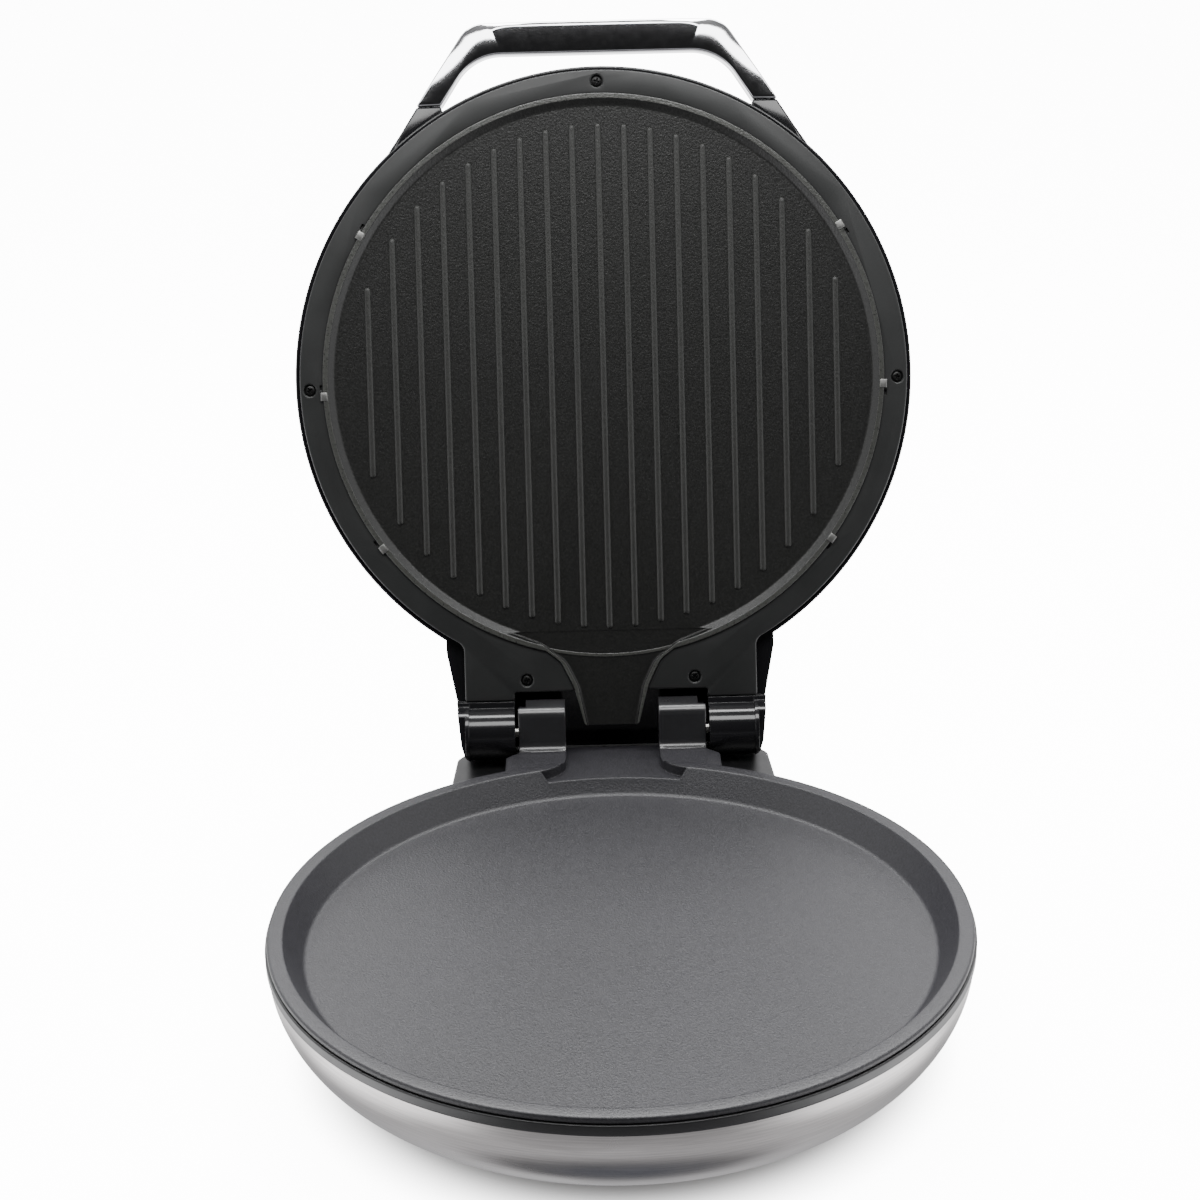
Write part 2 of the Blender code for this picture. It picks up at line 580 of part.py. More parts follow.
def make_materials():
    """Plain stand-ins for the finishes."""
    return {
        "nonstick_pan": new_material("nonstick_pan", (0.045, 0.045, 0.05), 0.5, 0.0),
        "nonstick_plate": new_material("nonstick_plate", (0.012, 0.013, 0.013), 0.5, 0.0),
        "black_matte": new_material("black_matte", (0.015, 0.016, 0.016), 0.5, 0.0),
        "black_plastic": new_material("black_plastic", (0.008, 0.008, 0.008), 0.4, 0.0),
        "gloss_black": new_material("gloss_black", (0.008, 0.008, 0.009), 0.15, 0.0),
        "brushed_steel": new_material("brushed_steel", (0.45, 0.43, 0.42), 0.3, 1.0),
        "steel": new_material("steel", (0.6, 0.6, 0.6), 0.35, 1.0),
        "black_steel": new_material("black_steel", (0.02, 0.02, 0.02), 0.4, 1.0),
        "chrome": new_material("chrome", (0.75, 0.75, 0.76), 0.08, 1.0),
        "black_rubber": new_material("black_rubber", (0.012, 0.012, 0.012), 0.8, 0.0),
        "heater_steel": new_material("heater_steel", (0.2, 0.19, 0.17), 0.5, 1.0),
        "bright_sheet": new_material("bright_sheet", (0.7, 0.7, 0.7), 0.3, 1.0),
        "white_ceramic": new_material("white_ceramic", (0.75, 0.74, 0.7), 0.5, 0.0),
        "red_lens": new_material("red_lens", (0.5, 0.02, 0.01), 0.2, 0.0),
        "green_lens": new_material("green_lens", (0.02, 0.35, 0.05), 0.2, 0.0),
    }


def new_empty(name, location, parent=None):
    empty = bpy.data.objects.new(name, None)
    bpy.context.scene.collection.objects.link(empty)
    empty.parent = parent
    empty.location = Vector(location) * MM
    return empty


def attach_new(body):
    """Give every piece that has no body yet to this one."""
    for thing in bpy.context.scene.objects:
        if thing.type == 'MESH' and thing.parent is None:
            thing.parent = body


def centre_on_origin(whole):
    """Slide the machine along y until the middle of its length is over the origin."""
    bpy.context.view_layer.update()
    depths = []
    for thing in bpy.context.scene.objects:
        if thing.type == 'MESH':
            depths += [(thing.matrix_world @ vertex.co).y for vertex in thing.data.vertices]
    whole.location.y = -(min(depths) + max(depths)) / 2
    bpy.context.view_layer.update()


def main():
    for thing in list(bpy.data.objects):
        bpy.data.objects.remove(thing)
    materials = make_materials()
    whole = new_empty("whole", (0, 0, 0))
    base = new_empty("base_body", (0, 0, 0), whole)
    hinge = new_empty("lid_hinge_axis", (0, HINGE_Y, HINGE_Z), whole)
    lid = new_empty("lid_body", (0, -HINGE_Y, 0), hinge)
    build_pan(materials)
    build_bowl(materials)
    build_hinge_block(materials)
    build_base_heating(materials)
    attach_new(base)
    build_ring(materials)
    build_plate(materials)
    build_cover(materials)
    build_dome(materials)
    build_handle(materials)
    build_lid_heating(materials)
    attach_new(lid)
    hinge.rotation_euler.x = -OPEN_ANGLE
    centre_on_origin(whole)


main()
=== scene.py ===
import json
import math

import bmesh
import bpy
from bpy.props import FloatProperty, FloatVectorProperty, IntProperty, PointerProperty
from mathutils import Matrix, Vector


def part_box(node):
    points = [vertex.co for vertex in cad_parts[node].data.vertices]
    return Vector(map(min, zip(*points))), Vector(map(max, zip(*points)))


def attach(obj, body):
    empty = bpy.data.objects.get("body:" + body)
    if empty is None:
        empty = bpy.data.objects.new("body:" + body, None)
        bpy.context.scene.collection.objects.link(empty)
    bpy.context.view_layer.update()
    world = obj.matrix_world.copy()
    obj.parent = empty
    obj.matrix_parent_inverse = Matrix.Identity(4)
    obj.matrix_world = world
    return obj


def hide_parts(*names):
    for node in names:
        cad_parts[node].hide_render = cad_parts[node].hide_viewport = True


bl_info = {
    "name": "Round Pizza Maker",
    "version": (1, 0, 0),
    "blender": (4, 5, 0),
    "location": "View3D > Sidebar > Pizza Maker",
    "description": "Builds a round electric pizza maker standing open, piece by piece",
    "category": "Add Mesh",
}

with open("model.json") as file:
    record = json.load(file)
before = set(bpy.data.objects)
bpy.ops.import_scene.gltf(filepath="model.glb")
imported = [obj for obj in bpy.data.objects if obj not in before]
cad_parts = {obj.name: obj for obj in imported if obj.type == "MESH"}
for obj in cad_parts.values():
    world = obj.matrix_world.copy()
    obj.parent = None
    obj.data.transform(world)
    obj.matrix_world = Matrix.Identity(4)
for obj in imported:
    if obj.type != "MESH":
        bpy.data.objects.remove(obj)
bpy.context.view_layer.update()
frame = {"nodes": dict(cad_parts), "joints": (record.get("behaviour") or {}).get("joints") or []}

# Outlines are drawn in millimetres about the pan's axis. The base counts heights from the table, and the
# lid is drawn shut with heights counted from the hinge axis.
MM = 0.001
FINE = 192                   # sides of the large turned pieces
MEDIUM = 48                  # sides of pins, feet and lamps
ARC_STEPS = 6
GAP = 0.3                    # air between pieces that only just clear each other

SHEET_LOW, SHEET_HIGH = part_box("lower_reflector")
PAN_Y = (SHEET_LOW.y + SHEET_HIGH.y) / 2
LID_HINGE = frame["joints"][0]
HINGE_AXIS = Vector(LID_HINGE["pos_m"])
OPEN_ANGLE = math.radians(LID_HINGE["range_deg"][1])
HINGE_Y = (HINGE_AXIS.y - PAN_Y) / MM
HINGE_Z = HINGE_AXIS.z / MM
BASE_PLACE = Matrix.Translation((0, PAN_Y, 0))
LID_PLACE = (Matrix.Translation(HINGE_AXIS) @ Matrix.Rotation(-OPEN_ANGLE, 4, 'X')
             @ Matrix.Translation((0, PAN_Y - HINGE_AXIS.y, 0)))

# Base
FOOT_HEIGHT = 5.0
RIM_Z = 65.0
RIM_R = 165.0
RIM_INNER_R = 157.6
RIM_THICKNESS = 3.0
PAN_FLOOR_R = 148.8
PAN_FLOOR_Z = 51.5
PAN_WALL = 3.0
TRIM_R = 166.0
TRIM_INNER_R = 163.9
BOWL_TOP_Z = 56.4
BOWL_TOP_R = 165.3
BOWL_BOTTOM_R = 106.0
BOWL_SHEET = 1.2
CHANNEL_HALF_WIDTH = 25.5
CHANNEL_Z = 59.3
CHANNEL_BACK_Y = 193.0
CHANNEL_FILLET = 18.0
CHANNEL_MOUTH = 41.0         # half width of the channel's bed where it meets the pan
LEDGE_Z = 64.0
LEDGE_HALF_WIDTH = 58.0
BLOCK_TOP_Z = 52.5
BLOCK_BACK_Y = 216.0
BASE_KNUCKLE_X = (25.5, 51.0)
KNUCKLE_FRONT_Y = 182.0
KNUCKLE_TOP_Z = 87.0

# Lid
RING_FACE = -3.5
RING_BACK = 2.0
RING_INNER_R = 152.1
TAIL_HALF_WIDTH = 80.0
TAIL_Y = 175.3
NOTCH_HALF_WIDTH = 53.0
NOTCH_Y = 170.8
NOTCH_CEILING = 20.0
LID_KNUCKLE_X = (53.0, 80.0)
LID_KNUCKLE_R = 14.5
PIN_R = 3.0
PIN_BORE_R = 3.2
PLATE_R = 151.7
PLATE_BACK = 1.0
PLATE_FLOOR = -2.0
TONGUE_BACK = -0.7
BEAD_FACE = -4.6
COVER_R = 168.0
COVER_FACE = 2.3
COVER_TOP = 16.0
SHOULDER_TOP = 27.0
DOME_TOP = 45.0
DOME_FLAT_R = 70.0
DOME_FOOT_R = 161.5
DOME_SHEET = 1.2
LAMP_Y = -48.0
HANDLE_LEVELS = (1.0, 13.0)
HANDLE_TOP_Y = 192.3
HANDLE_INNER_Y = 175.4
HANDLE_SEAM_Y = 148.5
HANDLE_SEAM_X = (84.2, 97.6)
HANDLE_LEAN = -23.1 / 35.1   # change of x for each millimetre away from the lid's centre
HANDLE_RIDGE_LEAN = -0.567
HANDLE_RIDGE_Y = 190.4
HANDLE_SCREWS = ((-97.5, -139.5), (97.5, -139.5))
RING_SCREWS = ((0.0, -159.0), (159.6, 3.3), (-159.6, 3.3), (46.0, 164.3), (-46.0, 164.3))
PLATE_CLIPS = ((129.0, -78.7), (151.8, 6.9), (122.7, 90.6), (-129.0, -78.7), (-151.8, 6.9), (-122.7, 90.6))

# Studio
PAPER_WHITE = 0.86
PAPER_GLOW = 12.0
SHADOW_R = (0.105, 0.165)    # metres from the pan's axis between which the paper brightens


# ---------------------------------------------------------------- shapes

def new_piece(name, corners, faces):
    """One mesh object from corners in millimetres, faces out."""
    shape = bmesh.new()
    points = [shape.verts.new(Vector(corner) * MM) for corner in corners]
    for face in faces:
        shape.faces.new([points[index] for index in face])
    bmesh.ops.recalc_face_normals(shape, faces=shape.faces)
    mesh = bpy.data.meshes.new(name)
    shape.to_mesh(mesh)
    shape.free()
    piece = bpy.data.objects.new(name, mesh)
    bpy.context.scene.collection.objects.link(piece)
    return piece


def shade(piece, degrees=32):
    """Smooth shading with corners sharper than this left crisp."""
    piece.data.shade_smooth()
    piece.data.set_sharp_from_angle(angle=math.radians(degrees))
    return piece


def arc(centre, radius, start, end, steps=ARC_STEPS):
    """Points along an arc, angles in degrees."""
    angles = [math.radians(start + (end - start) * step / steps) for step in range(steps + 1)]
    return [(centre[0] + radius * math.cos(a), centre[1] + radius * math.sin(a)) for a in angles]


def rounded(outline, radii, steps=ARC_STEPS):
    """The outline with each corner replaced by an arc of its own radius; 0 keeps the corner."""
    points = []
    for index, corner in enumerate(outline):
        here = Vector(corner)
        before = (Vector(outline[index - 1]) - here).normalized()
        after = (Vector(outline[(index + 1) % len(outline)]) - here).normalized()
        radius = radii[index]
        if radius == 0:
            points.append(tuple(corner))
            continue
        half = before.angle(after) / 2
        middle = here + (before + after).normalized() * (radius / math.sin(half))
        first = here + before * (radius / math.tan(half)) - middle
        turn = first.angle_signed(here + after * (radius / math.tan(half)) - middle)
        for step in range(steps + 1):
            spot = middle + Matrix.Rotation(-turn * step / steps, 2) @ first
            points.append((spot.x, spot.y))
    return points


def mirrored(outline):
    """A right-hand outline followed by its mirror image, as one closed outline."""
    return outline + [(-x, y) for x, y in reversed(outline) if abs(x) > 1e-6]


def turned(name, outline, sides=FINE, centre=(0.0, 0.0)):
    """Turn an outline of (radius, height) points about an upright axis; a radius of 0 lies on the axis."""
    corners = []
    rings = []
    for radius, height in outline:
        if radius < 1e-6:
            rings.append([len(corners)] * sides)
            corners.append((centre[0], centre[1], height))
            continue
        rings.append(list(range(len(corners), len(corners) + sides)))
        for step in range(sides):
            angle = 2 * math.pi * (step + 0.5) / sides
            x = centre[0] + radius * math.cos(angle)
            corners.append((x, centre[1] + radius * math.sin(angle), height))
    faces = []
    for ring, following in zip(rings, rings[1:] + rings[:1]):
        for step in range(sides):
            after = (step + 1) % sides
            face = list(dict.fromkeys((ring[step], ring[after], following[after], following[step])))
            if len(face) > 2:
                faces.append(face)
    return shade(new_piece(name, corners, faces))


def extruded(name, lower, upper):
    """Two like rings of corners joined by sides and closed by their ends."""
    count = len(lower)
    sides = [(i, (i + 1) % count, count + (i + 1) % count, count + i) for i in range(count)]
    ends = [tuple(range(count)), tuple(range(count, 2 * count))]
    return new_piece(name, list(lower) + list(upper), sides + ends)


def prism(name, outline, low, high):
    """An outline of (x, y) points raised from one height to another."""
    return extruded(name, [(x, y, low) for x, y in outline], [(x, y, high) for x, y in outline])


def side_prism(name, outline, left, right):
    """An outline of (y, z) points drawn out along x."""
    return extruded(name, [(left, y, z) for y, z in outline], [(right, y, z) for y, z in outline])


def front_prism(name, outline, front, back):
    """An outline of (x, z) points drawn out along y."""
    return extruded(name, [(x, front, z) for x, z in outline], [(x, back, z) for x, z in outline])


def circle(centre, radius, sides=24):
    return arc(centre, radius, 0, 360 - 360 / sides, steps=sides - 1)


def drum(radius, low, high, sides=FINE, centre=(0.0, 0.0)):
    """A plain cylinder, mostly to cut with."""
    return turned("drum", [(0, low), (radius, low), (radius, high), (0, high)], sides, centre)


def box(name, low, high):
    outline = [(low[0], low[1]), (high[0], low[1]), (high[0], high[1]), (low[0], high[1])]
    return prism(name, outline, low[2], high[2])


def freeze(piece):
    """Turn the modifiers' result into the piece's own mesh."""
    bpy.context.view_layer.update()
    evaluated = piece.evaluated_get(bpy.context.evaluated_depsgraph_get())
    mesh = bpy.data.meshes.new_from_object(evaluated)
    piece.modifiers.clear()
    piece.data = mesh
    mesh.name = piece.name
    return piece


def soften(piece, width, segments=3, degrees=40):
    """Round the corners that are sharper than this angle."""
    bevel = piece.modifiers.new("round edges", 'BEVEL')
    bevel.width = width * MM
    bevel.segments = segments
    bevel.limit_method = 'ANGLE'
    bevel.angle_limit = math.radians(degrees)
    bevel.miter_outer = 'MITER_ARC'
    bevel.harden_normals = False
    return freeze(piece)


def combine(piece, tool, operation):
    modifier = piece.modifiers.new("combine", 'BOOLEAN')
    modifier.operation = operation
    modifier.solver = 'EXACT'
    modifier.object = tool
    freeze(piece)
    bpy.data.objects.remove(tool)
    return piece


def cut(piece, *tools):
    for tool in tools:
        combine(piece, tool, 'DIFFERENCE')
    return piece


def join(piece, *tools):
    for tool in tools:
        combine(piece, tool, 'UNION')
    return piece


def quarter_ellipse(inner_r, width, start_z, height, steps=24):
    """(radius, height) points from the wide foot of a bowl's curve to its flat end."""
    angles = [math.pi / 2 * step / steps for step in range(steps + 1)]
    return [(inner_r + width * math.cos(a), start_z + height * math.sin(a)) for a in angles]


def settle(piece, body, nodes, finish=None):
    """Put a finished piece in its place on its body, standing for these nodes."""
    if finish:
        piece.data.materials.clear()
        piece.data.materials.append(material(finish))
    piece.data.transform(LID_PLACE if body == "lid" else BASE_PLACE)
    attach(piece, body)
    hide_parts(*nodes)


# ---------------------------------------------------------------- materials

def wire(tree, kind, inputs=None, give=0, **settings):
    """Add a node, set or link its inputs, and return one of its outputs."""
    made = tree.nodes.new(kind)
    for key, value in settings.items():
        setattr(made, key, value)
    for key, value in (inputs or {}).items():
        if isinstance(value, bpy.types.NodeSocket):
            tree.links.new(value, made.inputs[key])
        else:
            made.inputs[key].default_value = value
    return made.outputs[give] if made.outputs else None


def maths(tree, operation, *values):
    return wire(tree, "ShaderNodeMath", dict(enumerate(values)), operation=operation)


def ramp(tree, value, low, high, start=0.0, end=1.0, blend='LINEAR'):
    """A value carried from the limits low and high to start and end, and held there."""
    limits = {"Value": value, "From Min": low, "From Max": high, "To Min": start, "To Max": end}
    return wire(tree, "ShaderNodeMapRange", limits, interpolation_type=blend)


class Finish:
    """A node-based material under construction."""

    def __init__(self, name, colour, roughness, metallic=0.0, specular=0.5):
        self.material = bpy.data.materials.new(name)
        self.material.use_nodes = True
        self.tree = self.material.node_tree
        self.shader = self.tree.nodes["Principled BSDF"]
        self.colour = colour
        self.material.diffuse_color = (*colour, 1.0)
        for socket, value in (("Base Color", (*colour, 1.0)), ("Roughness", roughness),
                              ("Metallic", metallic), ("Specular IOR Level", specular)):
            self.shader.inputs[socket].default_value = value

    def feed(self, socket, value):
        """Link a pattern to one of the shader's inputs."""
        self.tree.links.new(value, self.shader.inputs[socket])

    def object_place(self, centre=(0, 0, 0), turn=(0, 0, 0)):
        """Object coordinates counted from a centre of the piece's own."""
        place = wire(self.tree, "ShaderNodeTexCoord", give="Object")
        return wire(self.tree, "ShaderNodeMapping", {"Vector": place, "Location": centre, "Rotation": turn},
                    vector_type='TEXTURE')

    def noise(self, vector, scale, detail=2.0, rough=0.5):
        inputs = {"Vector": vector, "Scale": scale, "Detail": detail, "Roughness": rough}
        return wire(self.tree, "ShaderNodeTexNoise", inputs, "Fac")

    def spread(self, value, low, high):
        """Stretch the middle of a noise pattern to new limits."""
        return ramp(self.tree, value, 0.3, 0.7, low, high)

    def tint(self, value, dark, light):
        """Colour that runs from the base colour times dark to the base colour times light."""
        blend = wire(self.tree, "ShaderNodeValToRGB", {"Fac": value})
        for stop, share in zip(blend.node.color_ramp.elements, (dark, light)):
            stop.color = (*[min(c * share, 1.0) for c in self.colour], 1)
        self.feed("Base Color", blend)

    def roughen(self, value, low, high):
        self.feed("Roughness", self.spread(value, low, high))

    def relief(self, value, depth, edge_radius=0.0, strength=1.0):
        """Bump of this depth in metres, over edges that are rounded off by the radius."""
        inputs = {"Strength": strength, "Distance": depth, "Height": value}
        if edge_radius:
            inputs["Normal"] = wire(self.tree, "ShaderNodeBevel", {"Radius": edge_radius}, samples=6)
        self.feed("Normal", wire(self.tree, "ShaderNodeBump", inputs))


def speckled_coating(name, colour, edge_radius=0.0006, roughness=(0.38, 0.5), sparkle=1.6, specular=0.5):
    """Sprayed non-stick coating: fine speckle, faint clouding, a slight orange-peel relief."""
    finish = Finish(name, colour, roughness[0], specular=specular)
    place = finish.object_place()
    speckle = finish.noise(place, 900.0, detail=3.0, rough=0.7)
    cloud = finish.noise(place, 9.0, detail=3.0)
    pattern = maths(finish.tree, 'MULTIPLY_ADD', finish.spread(speckle, 0.0, 1.0), 0.75,
                    finish.spread(cloud, 0.0, 0.25))
    finish.tint(pattern, 0.72, sparkle)
    finish.roughen(speckle, *roughness)
    finish.relief(finish.noise(place, 850.0, detail=3.0, rough=0.65), 0.00022, edge_radius, strength=0.9)
    return finish.material


def moulded_plastic(name, colour, roughness, grain=2200.0, depth=0.00003, edge_radius=0.0005, specular=0.5):
    """Moulded black plastic with a fine grain and faint handling marks."""
    finish = Finish(name, colour, roughness[0], specular=specular)
    place = finish.object_place()
    marks = finish.noise(place, 30.0, detail=5.0, rough=0.65)
    finish.roughen(marks, *roughness)
    finish.tint(finish.noise(place, 14.0, detail=3.0), 0.85, 1.2)
    finish.relief(finish.noise(place, grain, detail=1.0), depth, edge_radius, strength=0.5)
    return finish.material


def turned_steel(name, colour, centre, turn):
    """Satin steel, brushed round its own axis."""
    finish = Finish(name, colour, 0.28, metallic=1.0)
    tree = finish.tree
    place = finish.object_place(centre, turn)
    x, y, z = wire(tree, "ShaderNodeSeparateXYZ", {"Vector": place}).node.outputs
    flat = wire(tree, "ShaderNodeCombineXYZ", {"X": x, "Y": y})
    radius = wire(tree, "ShaderNodeVectorMath", {0: flat}, "Value", operation='LENGTH')
    round_axis = maths(tree, 'MULTIPLY', maths(tree, 'ARCTAN2', y, x), 0.004)
    streak = wire(tree, "ShaderNodeCombineXYZ", {"X": radius, "Y": z, "Z": round_axis})
    lines = finish.noise(streak, 1500.0, detail=4.0, rough=0.6)
    finish.tint(finish.spread(lines, 0.0, 1.0), 0.82, 1.12)
    finish.roughen(finish.noise(place, 16.0, detail=4.0, rough=0.6), 0.24, 0.34)
    finish.relief(lines, 0.00002, strength=0.35)
    return finish.material


def plated_steel(name, colour, roughness, edge_radius=0.0003, marking=1.0):
    """Small plated parts with faint tumbling marks."""
    finish = Finish(name, colour, roughness[0], metallic=1.0)
    place = finish.object_place()
    marks = finish.noise(place, 260.0, detail=4.0, rough=0.7)
    finish.tint(marks, 1.0 - 0.2 * marking, 1.0 + 0.1 * marking)
    finish.roughen(marks, *roughness)
    finish.relief(finish.noise(place, 1800.0), 0.00001, edge_radius, strength=0.4 * marking)
    return finish.material


def lens_plastic(name, colour):
    finish = Finish(name, colour, 0.12)
    place = finish.object_place()
    finish.tint(finish.noise(place, 700.0), 0.8, 1.25)
    finish.relief(finish.noise(place, 1200.0), 0.00002, 0.0003, strength=0.3)
    finish.shader.inputs["Coat Weight"].default_value = 0.5
    return finish.material


def soft_rubber(name, colour):
    finish = Finish(name, colour, 0.8, specular=0.3)
    place = finish.object_place()
    dust = finish.noise(place, 120.0, detail=5.0, rough=0.7)
    finish.tint(dust, 0.8, 1.6)
    finish.roughen(dust, 0.7, 0.9)
    finish.relief(dust, 0.00008, 0.0004, strength=0.4)
    return finish.material


def material(name):
    return bpy.data.materials[name]


# ---------------------------------------------------------------- node trees

def new_tree(name, inputs):
    """A Geometry Nodes tree that takes geometry and these named inputs, and its input sockets."""
    tree = bpy.data.node_groups.new(name, 'GeometryNodeTree')
    for label, kind in (("Geometry", "Geometry"), *inputs):
        tree.interface.new_socket(label, in_out='INPUT', socket_type=f"NodeSocket{kind}")
    tree.interface.new_socket("Geometry", in_out='OUTPUT', socket_type='NodeSocketGeometry')
    return tree, tree.nodes.new("NodeGroupInput").outputs


def close_tree(tree, given, geometry):
    """End a tree in plain painted mesh."""
    real = wire(tree, "GeometryNodeRealizeInstances", {"Geometry": geometry})
    paint = wire(tree, "GeometryNodeSetMaterial", {"Geometry": real, "Material": given["Finish"]})
    wire(tree, "NodeGroupOutput", {"Geometry": paint})
    return tree


def run_tree(name, tree, values, corners=((0, 0, 0),), turns=(0.0,)):
    """Run a tree on loose points, each with its own turn, and return the result as a plain mesh."""
    mesh = bpy.data.meshes.new(name)
    mesh.from_pydata([Vector(corner) * MM for corner in corners], [], [])
    turn = mesh.attributes.new("turn", 'FLOAT', 'POINT')
    turn.data.foreach_set("value", list(turns))
    piece = bpy.data.objects.new(name, mesh)
    bpy.context.scene.collection.objects.link(piece)
    modifier = piece.modifiers.new(name, 'NODES')
    modifier.node_group = tree
    sockets = {item.name: item.identifier for item in tree.interface.items_tree
               if item.item_type == 'SOCKET' and item.in_out == 'INPUT'}
    for label, value in values.items():
        modifier[sockets[label]] = value
    return freeze(piece)


def placed_copies_tree():
    """Puts a copy of an item at each point, turned by the point's own angle about the upright."""
    tree, given = new_tree("placed copies", [("Item", "Object"), ("Size", "Float"), ("Finish", "Material")])
    item = wire(tree, "GeometryNodeObjectInfo", {"Object": given["Item"]}, "Geometry")
    turn = wire(tree, "GeometryNodeInputNamedAttribute", {"Name": "turn"}, "Attribute")
    angles = wire(tree, "ShaderNodeCombineXYZ", {"Z": turn})
    inputs = {"Points": given["Geometry"], "Instance": item, "Rotation": angles, "Scale": given["Size"]}
    return close_tree(tree, given, wire(tree, "GeometryNodeInstanceOnPoints", inputs))


def placed_copies(name, item, places, turns, finish):
    """Copies of one item at (x, y, z) places; the item itself is used up."""
    tree = bpy.data.node_groups.get("placed copies") or placed_copies_tree()
    piece = run_tree(name, tree, {"Item": item, "Size": 1.0, "Finish": material(finish)}, places, turns)
    bpy.data.objects.remove(item)
    return shade(piece)


def rib_tree():
    """Parallel half-round ribs that end on a circle, their ends rounded off."""
    tree, given = new_tree("plate ribs", [("Ribs", "Int"), ("Pitch", "Float"), ("Circle", "Float"),
                                          ("Width", "Float"), ("Height", "Float"), ("Level", "Float"),
                                          ("Finish", "Material")])
    step = wire(tree, "ShaderNodeCombineXYZ", {"X": given["Pitch"]})
    span = maths(tree, 'MULTIPLY', maths(tree, 'SUBTRACT', given["Ribs"], 1.0), given["Pitch"])
    first = maths(tree, 'MULTIPLY', span, -0.5)
    start = wire(tree, "ShaderNodeCombineXYZ", {"X": first, "Z": given["Level"]})
    inputs = {"Count": given["Ribs"], "Offset": step, "Start Location": start}
    row = wire(tree, "GeometryNodeMeshLine", inputs)
    place = wire(tree, "GeometryNodeInputPosition")
    x = wire(tree, "ShaderNodeSeparateXYZ", {"Vector": place}, "X")
    square = maths(tree, 'MULTIPLY', given["Circle"], given["Circle"])
    half = maths(tree, 'SQRT', maths(tree, 'SUBTRACT', square, maths(tree, 'MULTIPLY', x, x)))
    line = wire(tree, "GeometryNodeCurvePrimitiveLine", {"Start": (0, -1, 0), "End": (0, 1, 0)})
    lengths = wire(tree, "ShaderNodeCombineXYZ", {"X": 1.0, "Y": half, "Z": 1.0})
    lines = wire(tree, "GeometryNodeInstanceOnPoints", {"Points": row, "Instance": line, "Scale": lengths})
    real = wire(tree, "GeometryNodeRealizeInstances", {"Geometry": lines})
    points = wire(tree, "GeometryNodeResampleCurve", {"Curve": real, "Length": 0.0008}, mode='LENGTH')
    upright = wire(tree, "GeometryNodeSetCurveNormal", {"Curve": points}, mode='Z_UP')
    along = wire(tree, "GeometryNodeSplineParameter", give="Length")
    total = wire(tree, "GeometryNodeSplineLength", give="Length")
    to_end = maths(tree, 'MINIMUM', along, maths(tree, 'SUBTRACT', total, along))
    end_radius = maths(tree, 'MULTIPLY', given["Width"], 0.5)
    near = maths(tree, 'MINIMUM', maths(tree, 'DIVIDE', to_end, end_radius), 1.0)
    fall = maths(tree, 'SUBTRACT', 1.0, near)
    taper = maths(tree, 'SQRT', maths(tree, 'SUBTRACT', 1.0, maths(tree, 'MULTIPLY', fall, fall)))
    least = maths(tree, 'MAXIMUM', taper, 0.04)
    size = wire(tree, "GeometryNodeSetCurveRadius", {"Curve": upright, "Radius": least})
    circle = wire(tree, "GeometryNodeCurvePrimitiveCircle", {"Resolution": 16, "Radius": 1.0})
    shape = wire(tree, "ShaderNodeCombineXYZ", {"X": end_radius, "Y": given["Height"], "Z": 1.0})
    section = wire(tree, "GeometryNodeTransform", {"Geometry": circle, "Scale": shape})
    inputs = {"Curve": size, "Profile Curve": section, "Fill Caps": True}
    solid = wire(tree, "GeometryNodeCurveToMesh", inputs)
    if "Scale" in solid.node.inputs:
        tree.links.new(wire(tree, "GeometryNodeInputRadius"), solid.node.inputs["Scale"])
    return close_tree(tree, given, solid)


# ---------------------------------------------------------------- pieces of the base

def pan_body():
    """The turned part of the pan: floor, sloping wall and flat rim."""
    outline = [(0, PAN_FLOOR_Z), (PAN_FLOOR_R, PAN_FLOOR_Z), (RIM_INNER_R, RIM_Z), (RIM_R, RIM_Z),
               (RIM_R, RIM_Z - RIM_THICKNESS), (RIM_INNER_R + PAN_WALL, RIM_Z - RIM_THICKNESS),
               (PAN_FLOOR_R + PAN_WALL, PAN_FLOOR_Z - PAN_WALL), (0, PAN_FLOOR_Z - PAN_WALL)]
    radii = [0, 3.0, 1.0, 1.3, 0.6, 1.0, 4.0, 0]
    return turned("lower_pan", rounded(outline, radii))


def knuckle_outline():
    """Side view of a base knuckle: upright front with a foot fillet, rounded top, sloping back."""
    toe = 4.0
    body = rounded([(202.0, LEDGE_Z - 0.2), (205.3, 75.0), (200.5, 83.5), (197.0, KNUCKLE_TOP_Z),
                    (KNUCKLE_FRONT_Y, KNUCKLE_TOP_Z),
                    (KNUCKLE_FRONT_Y, LEDGE_Z + toe)], [0, 4, 3, 2, 4.5, 0])
    foot = arc((KNUCKLE_FRONT_Y - toe, LEDGE_Z + toe), toe, 0, -90)
    return body + foot[1:] + [(KNUCKLE_FRONT_Y - toe, LEDGE_Z - 0.2)]


def build_base_knuckles():
    """The two knuckles that stand on the pan's ledge, bored for the pins."""
    inner, outer = BASE_KNUCKLE_X
    parts = []
    for side in (-1, 1):
        left, right = sorted((side * inner, side * outer))
        knuckle = side_prism("knuckle", knuckle_outline(), left, right)
        left, right = sorted((side * (outer - 4.0), side * (outer + 2.0)))
        cut(knuckle, box("step", (left, KNUCKLE_FRONT_Y + 4.5, 81.0), (right, 212.0, 92.0)))
        soften(knuckle, 0.8)
        left, right = sorted((side * (inner + 1.2), side * (outer + 1.0)))
        cut(knuckle, side_prism("bore", circle((HINGE_Y, HINGE_Z), PIN_BORE_R), left, right))
        parts.append(knuckle)
    knuckles = join(*parts)
    knuckles.name = "base_knuckles"
    shade(knuckles)
    settle(knuckles, "base", [], "knuckle coating")


